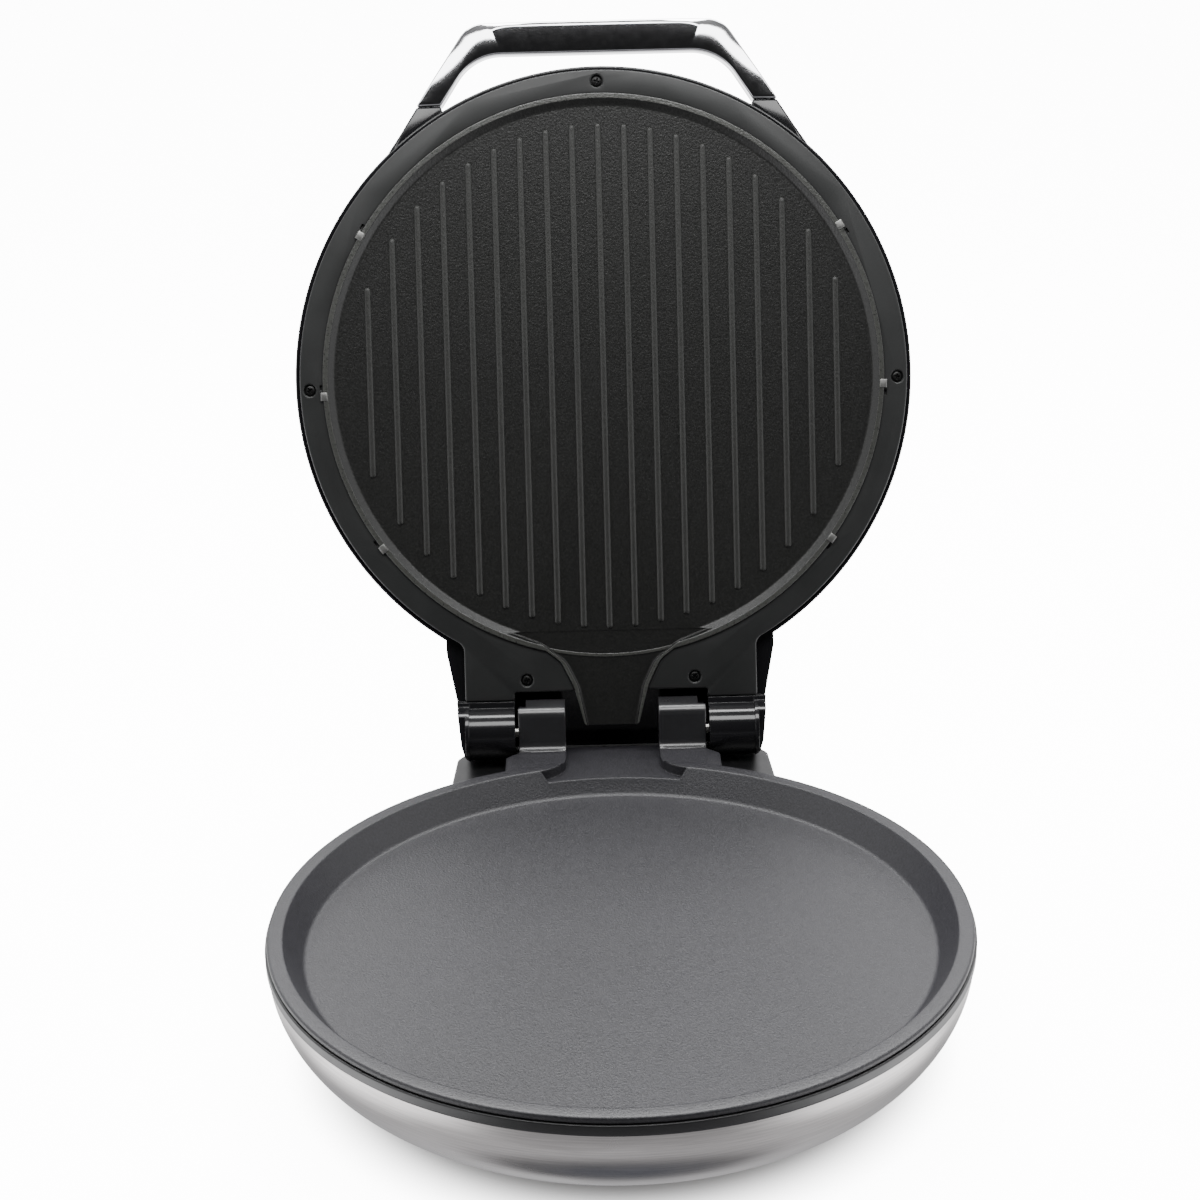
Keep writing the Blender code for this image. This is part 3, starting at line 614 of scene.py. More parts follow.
def channel_outline():
    """Plan of the channel: straight between the knuckles, then flared into the pan's round wall."""
    fillet_x = CHANNEL_HALF_WIDTH + CHANNEL_FILLET
    fillet_y = math.sqrt((RIM_INNER_R + CHANNEL_FILLET) ** 2 - fillet_x ** 2)
    meets = math.degrees(math.atan2(-fillet_y, -fillet_x)) % 360
    flare = arc((fillet_x, fillet_y), CHANNEL_FILLET, 180, meets, steps=12)
    return mirrored([(CHANNEL_HALF_WIDTH, 230.0)] + flare + [(20.0, 140.0)])


def build_lower_pan():
    """The pan with its ledge and channel."""
    pan = pan_body()
    underside = BLOCK_TOP_Z + GAP
    ledge = rounded([(LEDGE_HALF_WIDTH, 140.0), (LEDGE_HALF_WIDTH, 172.0), (BASE_KNUCKLE_X[1], 178.0),
                     (BASE_KNUCKLE_X[1], 202.0), (CHANNEL_HALF_WIDTH, 202.0),
                     (CHANNEL_HALF_WIDTH, CHANNEL_BACK_Y), (-CHANNEL_HALF_WIDTH, CHANNEL_BACK_Y),
                     (-CHANNEL_HALF_WIDTH, 202.0), (-BASE_KNUCKLE_X[1], 202.0),
                     (-BASE_KNUCKLE_X[1], 178.0), (-LEDGE_HALF_WIDTH, 172.0), (-LEDGE_HALF_WIDTH, 140.0)],
                    [0, 3, 3, 1, 1, 0, 0, 1, 1, 3, 3, 0])
    tail = soften(prism("tail", ledge, underside, LEDGE_Z), 0.5)
    cut(tail, drum(TRIM_R + 2 * GAP, 40.0, 61.8), drum(161.0, 60.0, 90.0))
    lean = (RIM_INNER_R - PAN_FLOOR_R) / (RIM_Z - PAN_FLOOR_Z)
    hollow = [(PAN_FLOOR_R + lean * (z - PAN_FLOOR_Z) + 0.8, z) for z in (50.0, 70.0)]
    bed = box("bed", (-CHANNEL_MOUTH, 140.0, BOWL_TOP_Z + GAP),
              (CHANNEL_MOUTH, CHANNEL_BACK_Y - 2, LEDGE_Z - 0.5))
    join(tail, cut(bed, turned("hollow", [(0, 50.0)] + hollow + [(0, 70.0)])))
    join(pan, tail)
    cut(pan, prism("channel", channel_outline(), CHANNEL_Z, 90.0))
    shade(pan)
    settle(pan, "base", ["lower_pan"], "pan coating")


def build_band():
    """Black band under the rim."""
    outline = [(TRIM_R, BOWL_TOP_Z + GAP), (TRIM_R, RIM_Z - RIM_THICKNESS - GAP),
               (TRIM_INNER_R, RIM_Z - RIM_THICKNESS - GAP), (TRIM_INNER_R, BOWL_TOP_Z + GAP)]
    band = turned("lower_trim_ring", rounded(outline, [0.7, 0.7, 0.3, 0.3]))
    clear_x = CHANNEL_MOUTH + 1
    cut(band, box("channel_space", (-clear_x, 140.0, 40.0), (clear_x, 180.0, 70.0)))
    shade(band)
    settle(band, "base", ["lower_trim_ring"], "black plastic")


def build_bowl():
    """Steel bowl of the base, one sheet thick."""
    depth = BOWL_TOP_Z - FOOT_HEIGHT
    width = BOWL_TOP_R - BOWL_BOTTOM_R
    outside = quarter_ellipse(BOWL_BOTTOM_R, width, BOWL_TOP_Z, -depth)
    inside = quarter_ellipse(BOWL_BOTTOM_R, width - BOWL_SHEET, BOWL_TOP_Z, -(depth - BOWL_SHEET))
    flange = arc((98.6, FOOT_HEIGHT + BOWL_SHEET / 2), BOWL_SHEET / 2, 270, 90)
    bowl = turned("lower_housing", outside + flange + inside[::-1])
    cut(bowl, front_prism("passage", circle((0, 32.0), 11.0), 130.0, 175.0))
    shade(bowl)
    settle(bowl, "base", ["lower_housing"], "base steel")


def block_outline(grow=0.0):
    """Plan of the hinge block, widest where it meets the bowl."""
    side = [(94.0 + grow, 120.0), (94.0 + grow, 142.0), (88.0 + grow, 160.0), (86.0 + grow, 196.0),
            (72.0 + grow, BLOCK_BACK_Y + grow)]
    loop = mirrored(side)
    return rounded(loop, [0, 3, 8, 6, 6, 6, 6, 8, 3, 0])


def build_hinge_block():
    """Hollow block behind the bowl that carries the hinge."""
    foot = FOOT_HEIGHT + GAP
    block = soften(prism("hinge_block", block_outline(), foot, BLOCK_TOP_Z), 1.5, segments=4)
    reach = 0.5
    curve = quarter_ellipse(BOWL_BOTTOM_R, BOWL_TOP_R - BOWL_BOTTOM_R + reach, BOWL_TOP_Z,
                            -(BOWL_TOP_Z - FOOT_HEIGHT + reach))
    cut(block, turned("bowl", [(0, 70.0), (BOWL_TOP_R + reach, 70.0)] + curve + [(0, curve[-1][1])]))
    cut(block, prism("room", block_outline(-3.0), foot + 3.0, BLOCK_TOP_Z - 3.0))
    cut(block, front_prism("gland_hole", circle((45.0, 24.0), 7.4), 205.0, 222.0))
    shade(block)
    settle(block, "base", ["hinge_block"], "black plastic")


def build_gland():
    """Cord gland: a flanged sleeve with a lead-in; the cord itself isn't part of the model."""
    outline = [(3.6, 0.0), (7.0, 0.0), (7.0, 8.0), (10.0, 8.3), (10.0, 11.0), (7.2, 11.6), (6.4, 14.0),
               (4.4, 14.0), (3.6, 13.0)]
    gland = turned("cord_gland", rounded(outline, [0, 0.5, 0, 0.6, 0.9, 0.6, 0.6, 0.5, 0]), sides=MEDIUM)
    place = Matrix.Translation(Vector((45.0, 208.0, 24.0)) * MM)
    gland.data.transform(place @ Matrix.Rotation(-math.pi / 2, 4, 'X'))
    settle(gland, "base", ["cord_gland"], "foot rubber")


def build_feet():
    """Four rubber feet, the front pair a little taller because the bowl's bottom sheet sits higher."""
    outline = [(0, 0.0), (6.4, 0.0), (7.6, 0.9), (8.6, 0.9), (9.0, 1.6), (8.8, FOOT_HEIGHT),
               (0, FOOT_HEIGHT)]
    foot = turned("foot", rounded(outline, [0, 0.3, 0.3, 0.5, 0.4, 0.2, 0]), sides=MEDIUM)
    places = [(-62.0, -62.0, 0.0), (62.0, -62.0, 0.0), (-58.0, 196.0, 0.0), (58.0, 196.0, 0.0)]
    feet = placed_copies("feet", foot, places, [0.0] * 4, "foot rubber")
    settle(feet, "base", [f"foot_{n}" for n in (1, 2, 3, 4)])


def build_bottom_screws():
    """Pan-head screws of the bottom sheet, with a cross recess."""
    low = FOOT_HEIGHT + BOWL_SHEET + GAP
    head = cross_screw(low - 2.0, low - 0.2, low + 8.0, 2.8)
    reach = 70.0 * math.sqrt(0.5)
    spots = [(x, y, 0.0) for x, y in ((reach, reach), (-reach, reach), (-reach, -reach), (reach, -reach))]
    screws = placed_copies("bottom_screws", head, spots, [0.3, 1.1, 0.7, 0.0], "plated steel")
    settle(screws, "base", [f"bottom_screw_{n}" for n in (1, 2, 3, 4)])


def cross_screw(face, seat, tip, head_r):
    """A domed screw along the upright with its recess in the face end; the tip points the other way."""
    way = 1 if tip > face else -1
    angles = [math.radians(a) for a in (20, 40, 60, 80, 90)]
    dome = [(head_r * math.sin(a), face + way * 0.7 * (1 - math.cos(a))) for a in angles]
    outline = [(0, face)] + dome + [(head_r, seat), (1.5, seat), (1.5, tip - way * 1.0), (0.6, tip),
                                    (0, tip)]
    screw = turned("screw", outline, sides=24)
    depth = sorted((face - way * 1.0, face + way * 1.1))
    half = head_r * 0.62
    for wide, thin in ((half, 0.42), (0.42, half)):
        cut(screw, box("slot", (-wide, -thin, depth[0]), (wide, thin, depth[1])))
    return shade(screw)


# ---------------------------------------------------------------- pieces of the lid

def ring_outline():
    """Plan of the ring with its tail towards the hinge, both meeting in a small fillet."""
    fillet = 6.0
    across = TAIL_HALF_WIDTH + fillet
    centre_y = math.sqrt((RIM_R + fillet) ** 2 - across ** 2)
    meets = math.degrees(math.atan2(centre_y, across))
    outer = arc((0, 0), RIM_R, -90, meets, steps=90)
    inner = arc((across, centre_y), fillet, meets + 180, 180, steps=8)
    tail = rounded([(TAIL_HALF_WIDTH, centre_y), (TAIL_HALF_WIDTH, TAIL_Y), (NOTCH_HALF_WIDTH, TAIL_Y),
                    (NOTCH_HALF_WIDTH, NOTCH_Y), (0, NOTCH_Y)], [0, 1.5, 1.5, 1.5, 0])
    return mirrored(outer + inner[:-1] + tail)


def tongue_outline(grow=0.0, tip=0.0):
    """Plan of the plate's tongue, flaring into the plate's edge and narrowing towards the hinge."""
    side = [(56.0 + grow, 138.0), (40.0 + grow, 144.5), (27.0 + grow, 154.5), (20.5 + grow, 168.0),
            (15.0 + grow, 189.9 + grow + tip)]
    return rounded(mirrored(side), [0, 14, 12, 20, 2.5, 2.5, 20, 12, 14, 0])


def build_lid_ring():
    """Ring round the upper plate, with its tail, clip pockets and screw seats."""
    ring = prism("lid_ring", ring_outline(), RING_FACE, RING_BACK)
    cut(ring, prism("hole", circle((0, 0), RING_INNER_R, FINE), -10.0, 10.0))
    soften(ring, 0.8)
    cut(ring, prism("tongue_bed", tongue_outline(0.4), -10.0, -0.4))
    for x, y in PLATE_CLIPS:
        pocket = box("pocket", (150.0, 3.4, -8.0), (154.2, 6.4, RING_FACE + 1.5))
        pocket.data.transform(Matrix.Rotation(math.atan2(y, x), 4, 'Z'))
        cut(ring, pocket)
    for spot in RING_SCREWS:
        seat = [(0, -10.0), (3.9, -10.0), (3.9, RING_FACE), (3.3, RING_FACE + 0.6), (3.3, -0.9), (1.8, -0.9),
                (1.8, 10.0), (0, 10.0)]
        cut(ring, turned("seat", seat, sides=32, centre=spot))
    shade(ring)
    settle(ring, "lid", ["lid_ring"], "matte black plastic")


def build_ring_screws():
    """Five dark screws sunk in the ring."""
    screw = cross_screw(RING_FACE + 0.9, -1.1, RING_BACK - 0.2, 2.7)
    turns = [0.4, 0.1, 0.9, 0.6, 1.2]
    spots = [(*spot, 0.0) for spot in RING_SCREWS]
    screws = placed_copies("ring_screws", screw, spots, turns, "black steel")
    settle(screws, "lid", [f"ring_screw_{n}" for n in range(1, 6)])


def build_upper_plate():
    """Upper plate: its rounded bead laps the ring's edge, and the tongue has a raised rim."""
    sizes = bpy.context.scene.maker_sizes
    floor_r = PLATE_R - 5.4
    inner, outer, lap = PLATE_R - 2.0, PLATE_R + 0.6, PLATE_R + 0.9
    outline = [(0, PLATE_FLOOR), (floor_r, PLATE_FLOOR), (inner, BEAD_FACE), (lap, BEAD_FACE),
               (lap, RING_FACE - 0.1), (PLATE_R, RING_FACE - 0.1), (PLATE_R, PLATE_BACK), (0, PLATE_BACK)]
    plate = turned("upper_plate", rounded(outline, [0, 2.2, 1.2, 0.9, 0.1, 0, 0.4, 0]))
    tongue = prism("tongue", tongue_outline(), BEAD_FACE, TONGUE_BACK)
    cut(tongue, prism("trough", tongue_outline(-3.0, 8.0), -8.0, PLATE_FLOOR))
    soften(tongue, 0.9)
    cut(tongue, turned("dish", [(0, -9.0), (PLATE_R - 2.4, -9.0), (floor_r, PLATE_FLOOR), (0, PLATE_FLOOR)]))
    join(plate, tongue)
    cut(plate, prism("trough", tongue_outline(-3.4, 8.0), -8.0, PLATE_FLOOR + 0.2))
    shade(plate)
    settle(plate, "lid", ["upper_plate"], "plate coating")
    values = {"Ribs": sizes.rib_count, "Pitch": sizes.rib_pitch, "Circle": sizes.rib_circle,
              "Width": sizes.rib_width, "Height": sizes.rib_height, "Level": PLATE_FLOOR * MM,
              "Finish": material("rubbed coating")}
    # The ribs are finished lighter than the plate: a painted highlight.
    ribs = shade(run_tree("upper_plate_ribs", rib_tree(), values), 60)
    settle(ribs, "lid", [])
    # Thin rim piece along the bead, the tongue's lip and an arc ridge across the tongue, finished far
    # brighter than the plate: a painted highlight line.
    low, high = BEAD_FACE - 0.2, BEAD_FACE + 0.2
    rim = turned("upper_plate_rim", [(inner, low), (outer, low), (outer, high), (inner, high)])
    lip = prism("lip", tongue_outline(-0.2), low - 0.02, high)
    cut(lip, turned("dish", [(0, -9.0), (inner + 0.5, -9.0), (inner + 0.5, 0.0), (0, 0.0)]))
    join(rim, lip)
    cut(rim, prism("trough", tongue_outline(-2.4, 8.0), -8.0, 0.0))
    low, high = PLATE_FLOOR - 0.3, PLATE_FLOOR + 0.6
    inner += 0.9
    ridge = turned("ridge", [(inner, low), (outer, low), (outer, high), (inner, high)])
    join(rim, combine(ridge, prism("trough", tongue_outline(-2.2), -8.0, 0.0), 'INTERSECT'))
    settle(soften(rim, 0.15), "lid", [], "rubbed rim")


def build_plate_clips():
    """Bent steel clips over the edge of the plate, one end tucked under the ring."""
    top = BEAD_FACE - 0.1
    outline = [(149.9, top + 0.5), (150.2, top - 0.6), (153.6, top - 0.6), (154.3, RING_FACE - 0.1),
               (153.5, RING_FACE - 0.1), (153.1, top), (150.9, top)]
    clip = soften(front_prism("clip", outline, -2.2, 2.2), 0.15)
    turns = [math.atan2(y, x) for x, y in PLATE_CLIPS]
    clips = placed_copies("plate_clips", clip, [(0.0, 0.0, 0.0)] * 6, turns, "clip steel")
    settle(clips, "lid", [f"plate_clip_{n}" for n in range(1, 7)])


def shoulder_plan(grow=0.0):
    """Plan of the cover's tail, widest at the round edge and narrower behind the hinge."""
    side = [(90.0 + grow, 130.0), (90.0 + grow, 148.3), (84.5 + grow, 177.3), (82.4 + grow, 199.3),
            (79.6 + grow, 208.3 + grow)]
    return rounded(mirrored(side), [0, 12, 30, 14, 5, 5, 14, 30, 12, 0])


def shoulder_side(radius):
    """Side view of the cover's tail: knuckle below, stop face behind, level top."""
    knuckle = arc((HINGE_Y, 0.0), radius, 194, 360, steps=28)
    return ([(130.0, COVER_FACE), (TAIL_Y + 0.5, COVER_FACE), (TAIL_Y + 0.5, RING_FACE)] + knuckle
            + rounded([(208.3, 6.0), (202.45, 24.0), (196.0, SHOULDER_TOP),
                       (130.0, SHOULDER_TOP)], [0, 3,
                                                                                                     6, 0]))


def build_lid_cover():
    """Gloss cover: round wall, shoulders, lid knuckles and handle brackets."""
    wall = [(COVER_R, COVER_FACE), (COVER_R, 9.0), (163.5, COVER_TOP), (147.0, COVER_TOP),
            (147.0, COVER_TOP - 2.5), (162.0, COVER_TOP - 2.5), (165.0, 8.5), (165.0, COVER_FACE)]
    cover = turned("lid_cover", rounded(wall, [1.0, 4.0, 1.5, 0.5, 0.5, 1.0, 3.0, 0.4]))
    tail = side_prism("tail", shoulder_side(LID_KNUCKLE_R), -95.0, 95.0)
    for left, right in ((-95.0, -78.0), (78.0, 95.0)):
        join(tail, side_prism("shell", shoulder_side(LID_KNUCKLE_R + 1.2), left, right))
    front = 3.0 - LID_KNUCKLE_R
    for left, right in ((-96.0, -80.0), (80.0, 96.0)):
        cut(tail, box("set_back", (left, 120.0, -30.0), (right, 230.0, front)))
    combine(tail, prism("plan", shoulder_plan(), -30.0, 40.0), 'INTERSECT')
    cut(tail, box("notch", (-NOTCH_HALF_WIDTH, NOTCH_Y, -30.0), (NOTCH_HALF_WIDTH, 230.0, NOTCH_CEILING)))
    soften(tail, 1.0)
    cut(tail, box("room", (-74.0, 120.0, 0.0), (74.0, NOTCH_Y - 3.0, SHOULDER_TOP - 3.0)))
    join(cover, tail)
    for side in (-1, 1):
        inner_x, outer_x = HANDLE_SEAM_X
        bracket = [(inner_x, -HANDLE_SEAM_Y + GAP), (outer_x, -HANDLE_SEAM_Y + GAP), (107.0, -133.7),
                   (114.0, -123.6), (106.0, -124.0), (84.0, -142.5)]
        piece = prism("bracket", [(side * x, y) for x, y in bracket], COVER_FACE + 0.2, HANDLE_LEVELS[1])
        join(cover, soften(piece, 1.2))
        left, right = sorted((side * (LID_KNUCKLE_X[0] - 1.0), side * (LID_KNUCKLE_X[1] - 0.2)))
        cut(cover, side_prism("bore", circle((HINGE_Y, 0.0), PIN_BORE_R), left, right))
        cut(cover, drum(3.4, 8.0, 20.0, 32, (side * HANDLE_SCREWS[1][0], HANDLE_SCREWS[1][1])))
    shade(cover)
    settle(cover, "lid", ["lid_cover"], "gloss black plastic")


def build_lid_dome():
    """Steel top of the lid, cut round the shoulders and the lamps."""
    foot = COVER_TOP + GAP
    width = DOME_FOOT_R - DOME_FLAT_R
    outside = quarter_ellipse(DOME_FLAT_R, width, foot, DOME_TOP - foot)
    inside = quarter_ellipse(DOME_FLAT_R, width - DOME_SHEET, foot, DOME_TOP - foot - DOME_SHEET)
    dome = turned("lid_dome", outside + [(0, DOME_TOP), (0, DOME_TOP - DOME_SHEET)] + inside[::-1])
    cut(dome, prism("tail_space", shoulder_plan(0.4), 0.0, SHOULDER_TOP + 0.4))
    for x in (-10.0, 10.0):
        cut(dome, drum(4.4, 30.0, 60.0, MEDIUM, (x, LAMP_Y)))
    shade(dome)
    settle(dome, "lid", ["lid_dome"], "lid steel")


def build_lamps():
    """Signal lamps: domed lenses in the flat of the lid's top."""
    for name, x, finish, slot in (("power_lamp", -10.0, "red lens", "red_lens"),
                                  ("ready_lamp", 10.0, "green lens", "green_lens")):
        top = DOME_TOP + 0.4
        angles = [math.radians(a) for a in range(0, 90, 10)]
        dome = [(4.0 * math.cos(a), top + 2.0 * math.sin(a)) for a in angles]
        lens = turned(name, [(0, 38.0), (3.6, 38.0), (3.6, 44.0)] + dome + [(0, top + 2.0)], sides=MEDIUM,
                      centre=(x, LAMP_Y))
        settle(lens, "lid", [name], finish)


def bend(foot, lean, bar_y, radius, points=40):
    """Half of a line on the handle: up an arm from its foot, round the bend and along half of the bar."""
    corner = (foot[0] + lean * (bar_y - foot[1]), bar_y)
    path = [Vector(spot) for spot in rounded([foot, corner, (0.0, bar_y)], [0, radius, 0], steps=16)]
    lengths = [0.0]
    for before, after in zip(path, path[1:]):
        lengths.append(lengths[-1] + (after - before).length)
    spots = []
    for step in range(points):
        target = lengths[-1] * step / points
        index = max(i for i, length in enumerate(lengths) if length <= target)
        share = (target - lengths[index]) / (lengths[index + 1] - lengths[index])
        spots.append(path[index].lerp(path[index + 1], share))
    spots.append(path[-1])
    return spots


def ease(share):
    share = min(1.0, max(0.0, share))
    return share * share * (3.0 - 2.0 * share)


def build_handle():
    """Bridge handle: a flat face inside a ridge, and a slope outside it that is wide on the arms."""
    sizes = bpy.context.scene.maker_sizes
    inner_x, outer_x = HANDLE_SEAM_X
    low, high = HANDLE_LEVELS
    edge = bend((outer_x, HANDLE_SEAM_Y), HANDLE_LEAN, HANDLE_TOP_Y, 16.0)
    ridge = bend((inner_x + 1.0, HANDLE_SEAM_Y), HANDLE_RIDGE_LEAN, HANDLE_RIDGE_Y, 28.0)
    inside = bend((inner_x, HANDLE_SEAM_Y), HANDLE_LEAN, HANDLE_INNER_Y, 28.0)
    corners = []
    fall = []
    for row in range(len(edge)):
        share = row / len(edge)
        rise = ease((share - 0.08) / 0.3)
        ebb = ease((share - 0.42) / 0.3)
        fall.append(sizes.handle_slope / MM * rise * (1.0 - 0.65 * ebb))
    for way in (1, -1):
        rows = list(zip(edge, ridge, inside, fall))
        for outer, crest, inner, drop in (rows if way > 0 else rows[-2::-1]):
            for spot, level in ((outer, low + drop), (crest, low), (inner, low + 0.4),
                                (inner, high), (outer, high)):
                corners.append((way * spot.x, -spot.y, level))
    count = len(corners) // 5
    faces = [tuple(range(5)), tuple(range(5 * count - 5, 5 * count))]
    for row in range(count - 1):
        first = row * 5
        faces += [(first + i, first + (i + 1) % 5, first + 5 + (i + 1) % 5, first + 5 + i) for i in range(5)]
    handle = soften(new_piece("handle", corners, faces), sizes.handle_edge / MM, segments=4, degrees=30)
    shade(handle, 40)
    settle(handle, "lid", ["handle"], "chrome")


def build_handle_screws():
    """Screws that hold the handle on its brackets."""
    screw = cross_screw(12.6, 10.5, 8.3, 2.8)
    screws = placed_copies("handle_screws", screw, [(*spot, 0.0) for spot in HANDLE_SCREWS], [0.5, 0.2],
                           "plated steel")
    settle(screws, "lid", ["handle_screw_left", "handle_screw_right"])


def build_hinge_pins():
    """Plain steel pins with chamfered ends."""
    for name, side in (("hinge_pin_left", -1), ("hinge_pin_right", 1)):
        length = LID_KNUCKLE_X[1] - 0.5 - BASE_KNUCKLE_X[0] - 1.5
        outline = [(0, 0), (PIN_R - 0.5, 0), (PIN_R, 0.5), (PIN_R, length - 0.5), (PIN_R - 0.5, length),
                   (0, length)]
        pin = turned(name, outline, sides=MEDIUM)
        start = Vector((side * (BASE_KNUCKLE_X[0] + 1.5), HINGE_Y, 0.0)) * MM
        pin.data.transform(Matrix.Translation(start) @ Matrix.Rotation(side * math.pi / 2, 4, 'Y'))
        settle(pin, "lid", [name], "plated steel")


def finish_inner_parts():
    """Finishes of the inner parts whose CAD shape is kept."""
    finishes = (("bottom_cover", "black plastic"), ("hinge_screw", "plated steel"),
                ("terminal_block", "white ceramic"), ("heating_element", "heater steel"),
                ("reflector", "bright sheet"), ("thermal_fuse", "bright sheet"),
                ("thermostat", "white ceramic"), ("element_clamp", "plated steel"))
    for name, node in frame["nodes"].items():
        for word, finish in finishes:
            if word in name and not node.hide_render:
                node.data.materials.clear()
                node.data.materials.append(material(finish))


# ---------------------------------------------------------------- finishes and stage

def make_finishes(colours):
    """All materials, from the panel's colours."""
    lid_centre = LID_PLACE.translation
    speckled_coating("pan coating", colours.pan, edge_radius=0.0011, sparkle=2.6)
    speckled_coating("plate coating", colours.plate, roughness=(0.32, 0.44), sparkle=1.5)
    moulded_plastic("knuckle coating", colours.knuckle, (0.27, 0.33), specular=1.0, edge_radius=0.001)
    # Plate colour brightened 2.4 times for the ribs (a painted highlight) and 6 times for the rim piece (a
    # painted highlight line).
    ribs, rim = (tuple(share * c for c in colours.plate) for share in (2.4, 6.0))
    speckled_coating("rubbed coating", ribs, roughness=(0.4, 0.5), sparkle=1.4)
    # Painted highlight for the plate's rim piece.
    speckled_coating("rubbed rim", rim, roughness=(0.26, 0.34), specular=0.8)
    plated_steel("clip steel", (0.32, 0.32, 0.31), (0.35, 0.5))
    moulded_plastic("matte black plastic", colours.ring, (0.42, 0.52))
    moulded_plastic("black plastic", colours.trim, (0.3, 0.42))
    moulded_plastic("gloss black plastic", colours.cover, (0.1, 0.18), grain=400.0, depth=0.00001,
                    edge_radius=0.0004)
    turned_steel("base steel", colours.steel, (0, PAN_Y, 0), (0, 0, 0))
    turned_steel("lid steel", colours.steel, tuple(lid_centre), (-OPEN_ANGLE, 0, 0))
    plated_steel("chrome", colours.chrome, (0.1, 0.13), marking=0.1)
    plated_steel("plated steel", (0.62, 0.61, 0.58), (0.25, 0.4))
    plated_steel("black steel", (0.03, 0.03, 0.03), (0.3, 0.45))
    plated_steel("heater steel", (0.2, 0.18, 0.15), (0.4, 0.6))
    plated_steel("bright sheet", (0.75, 0.75, 0.75), (0.2, 0.35))
    moulded_plastic("white ceramic", (0.7, 0.69, 0.64), (0.5, 0.65), grain=900.0)
    soft_rubber("foot rubber", (0.014, 0.014, 0.014))
    lens_plastic("red lens", (0.55, 0.02, 0.012))
    lens_plastic("green lens", (0.02, 0.38, 0.06))


def studio_white():
    """Glowing white paper, dimmed where the machine stands on it."""
    finish = Finish("studio paper", (PAPER_WHITE,) * 3, 0.7, specular=0.2)
    tree = finish.tree
    away = wire(tree, "ShaderNodeVectorMath", {0: finish.object_place(), 1: (0, PAN_Y, 0)}, "Value",
                operation='DISTANCE')
    # Painted contact shadow: the paper's glow and colour fall off towards the pan's axis.
    shadow_fade = ramp(tree, away, *SHADOW_R, blend='SMOOTHSTEP')
    finish.shader.inputs["Emission Color"].default_value = (1, 1, 1, 1)
    finish.feed("Emission Strength", maths(tree, 'MULTIPLY', maths(tree, 'POWER', shadow_fade, 3.0), PAPER_GLOW))
    finish.feed("Base Color", ramp(tree, shadow_fade, 0.0, 1.0, 0.25, PAPER_WHITE))
    return finish.material


def area_light(name, place, target, size, power):
    light = bpy.data.lights.new(name, 'AREA')
    light.shape = 'RECTANGLE'
    light.size, light.size_y = size
    light.energy = power
    lamp = bpy.data.objects.new(name, light)
    lamp.location = place
    lamp.rotation_euler = (Vector(target) - Vector(place)).to_track_quat('-Z', 'Y').to_euler()
    bpy.context.scene.collection.objects.link(lamp)


def build_stage():
    """Paper sweep, soft lights and the camera."""
    front, back, half, height, bend = -3.0, 1.6, 4.0, 3.5, 0.8
    profile = [(front, 0.0)] + [(back + bend * math.sin(a), bend - bend * math.cos(a))
                                for a in [math.pi / 2 * s / 16 for s in range(17)]] + [(back + bend, height)]
    corners = [(x, y, z) for x in (-half, half) for y, z in profile]
    count = len(profile)
    faces = [(i, i + 1, count + i + 1, count + i) for i in range(count - 1)]
    mesh = bpy.data.meshes.new("paper_sweep")
    mesh.from_pydata(corners, [], faces)
    mesh.materials.append(studio_white())
    mesh.shade_smooth()
    sweep = bpy.data.objects.new("paper_sweep", mesh)
    sweep.visible_glossy = False
    sweep.visible_diffuse = False
    bpy.context.scene.collection.objects.link(sweep)
    bpy.context.scene.world = studio_world()
    area_light("back softbox", (0.0, 0.75, 1.7), (0, -0.1, 0.0), (1.8, 0.8), 70)
    area_light("boom softbox", (0.0, -0.25, 0.98), (0, 0.2, 0.36), (1.0, 0.3), 9)
    place_camera()


def studio_world():
    """Bright paper behind and beside the machine, a dark room in front of it."""
    world = bpy.data.worlds.new("studio")
    world.use_nodes = True
    tree = world.node_tree
    way = wire(tree, "ShaderNodeTexCoord", give="Generated")
    x, y, z = wire(tree, "ShaderNodeSeparateXYZ", {"Vector": way}).node.outputs
    front = wire(tree, "ShaderNodeValToRGB", {"Fac": ramp(tree, z, -1.0, 1.0)})
    stops = front.node.color_ramp.elements
    stops[0].color = (0.05, 0.055, 0.07, 1)
    stops[1].color = (0.4, 0.4, 0.4, 1)
    for place, level in ((0.02, 0.03), (0.05, 0.36), (0.1, 0.26), (0.25, 0.09), (0.42, 0.34), (0.52, 0.10),
                         (0.6, 0.012), (0.85, 0.012)):
        stops.new(place).color = (level, level, level * 1.03, 1)

    def both(*limits):
        """How far each value is between its limits, multiplied together."""
        return maths(tree, 'MULTIPLY', *(ramp(tree, *limit, blend='SMOOTHSTEP') for limit in limits))
    behind = both((y, 0.0, 0.4), (z, -0.65, -0.35))
    beside = both((maths(tree, 'ABSOLUTE', x), 0.5, 0.85), (z, -0.85, -0.6))
    inputs = {"A": front, "B": (1.6, 1.6, 1.62, 1), "Factor": maths(tree, 'MAXIMUM', behind, beside)}
    room = wire(tree, "ShaderNodeMix", inputs, "Result", data_type='RGBA')
    background = tree.nodes["Background"]
    tree.links.new(room, background.inputs["Color"])
    tree.links.new(ramp(tree, z, -0.45, -0.15, 3.0, 1.0), background.inputs["Strength"])
    return world


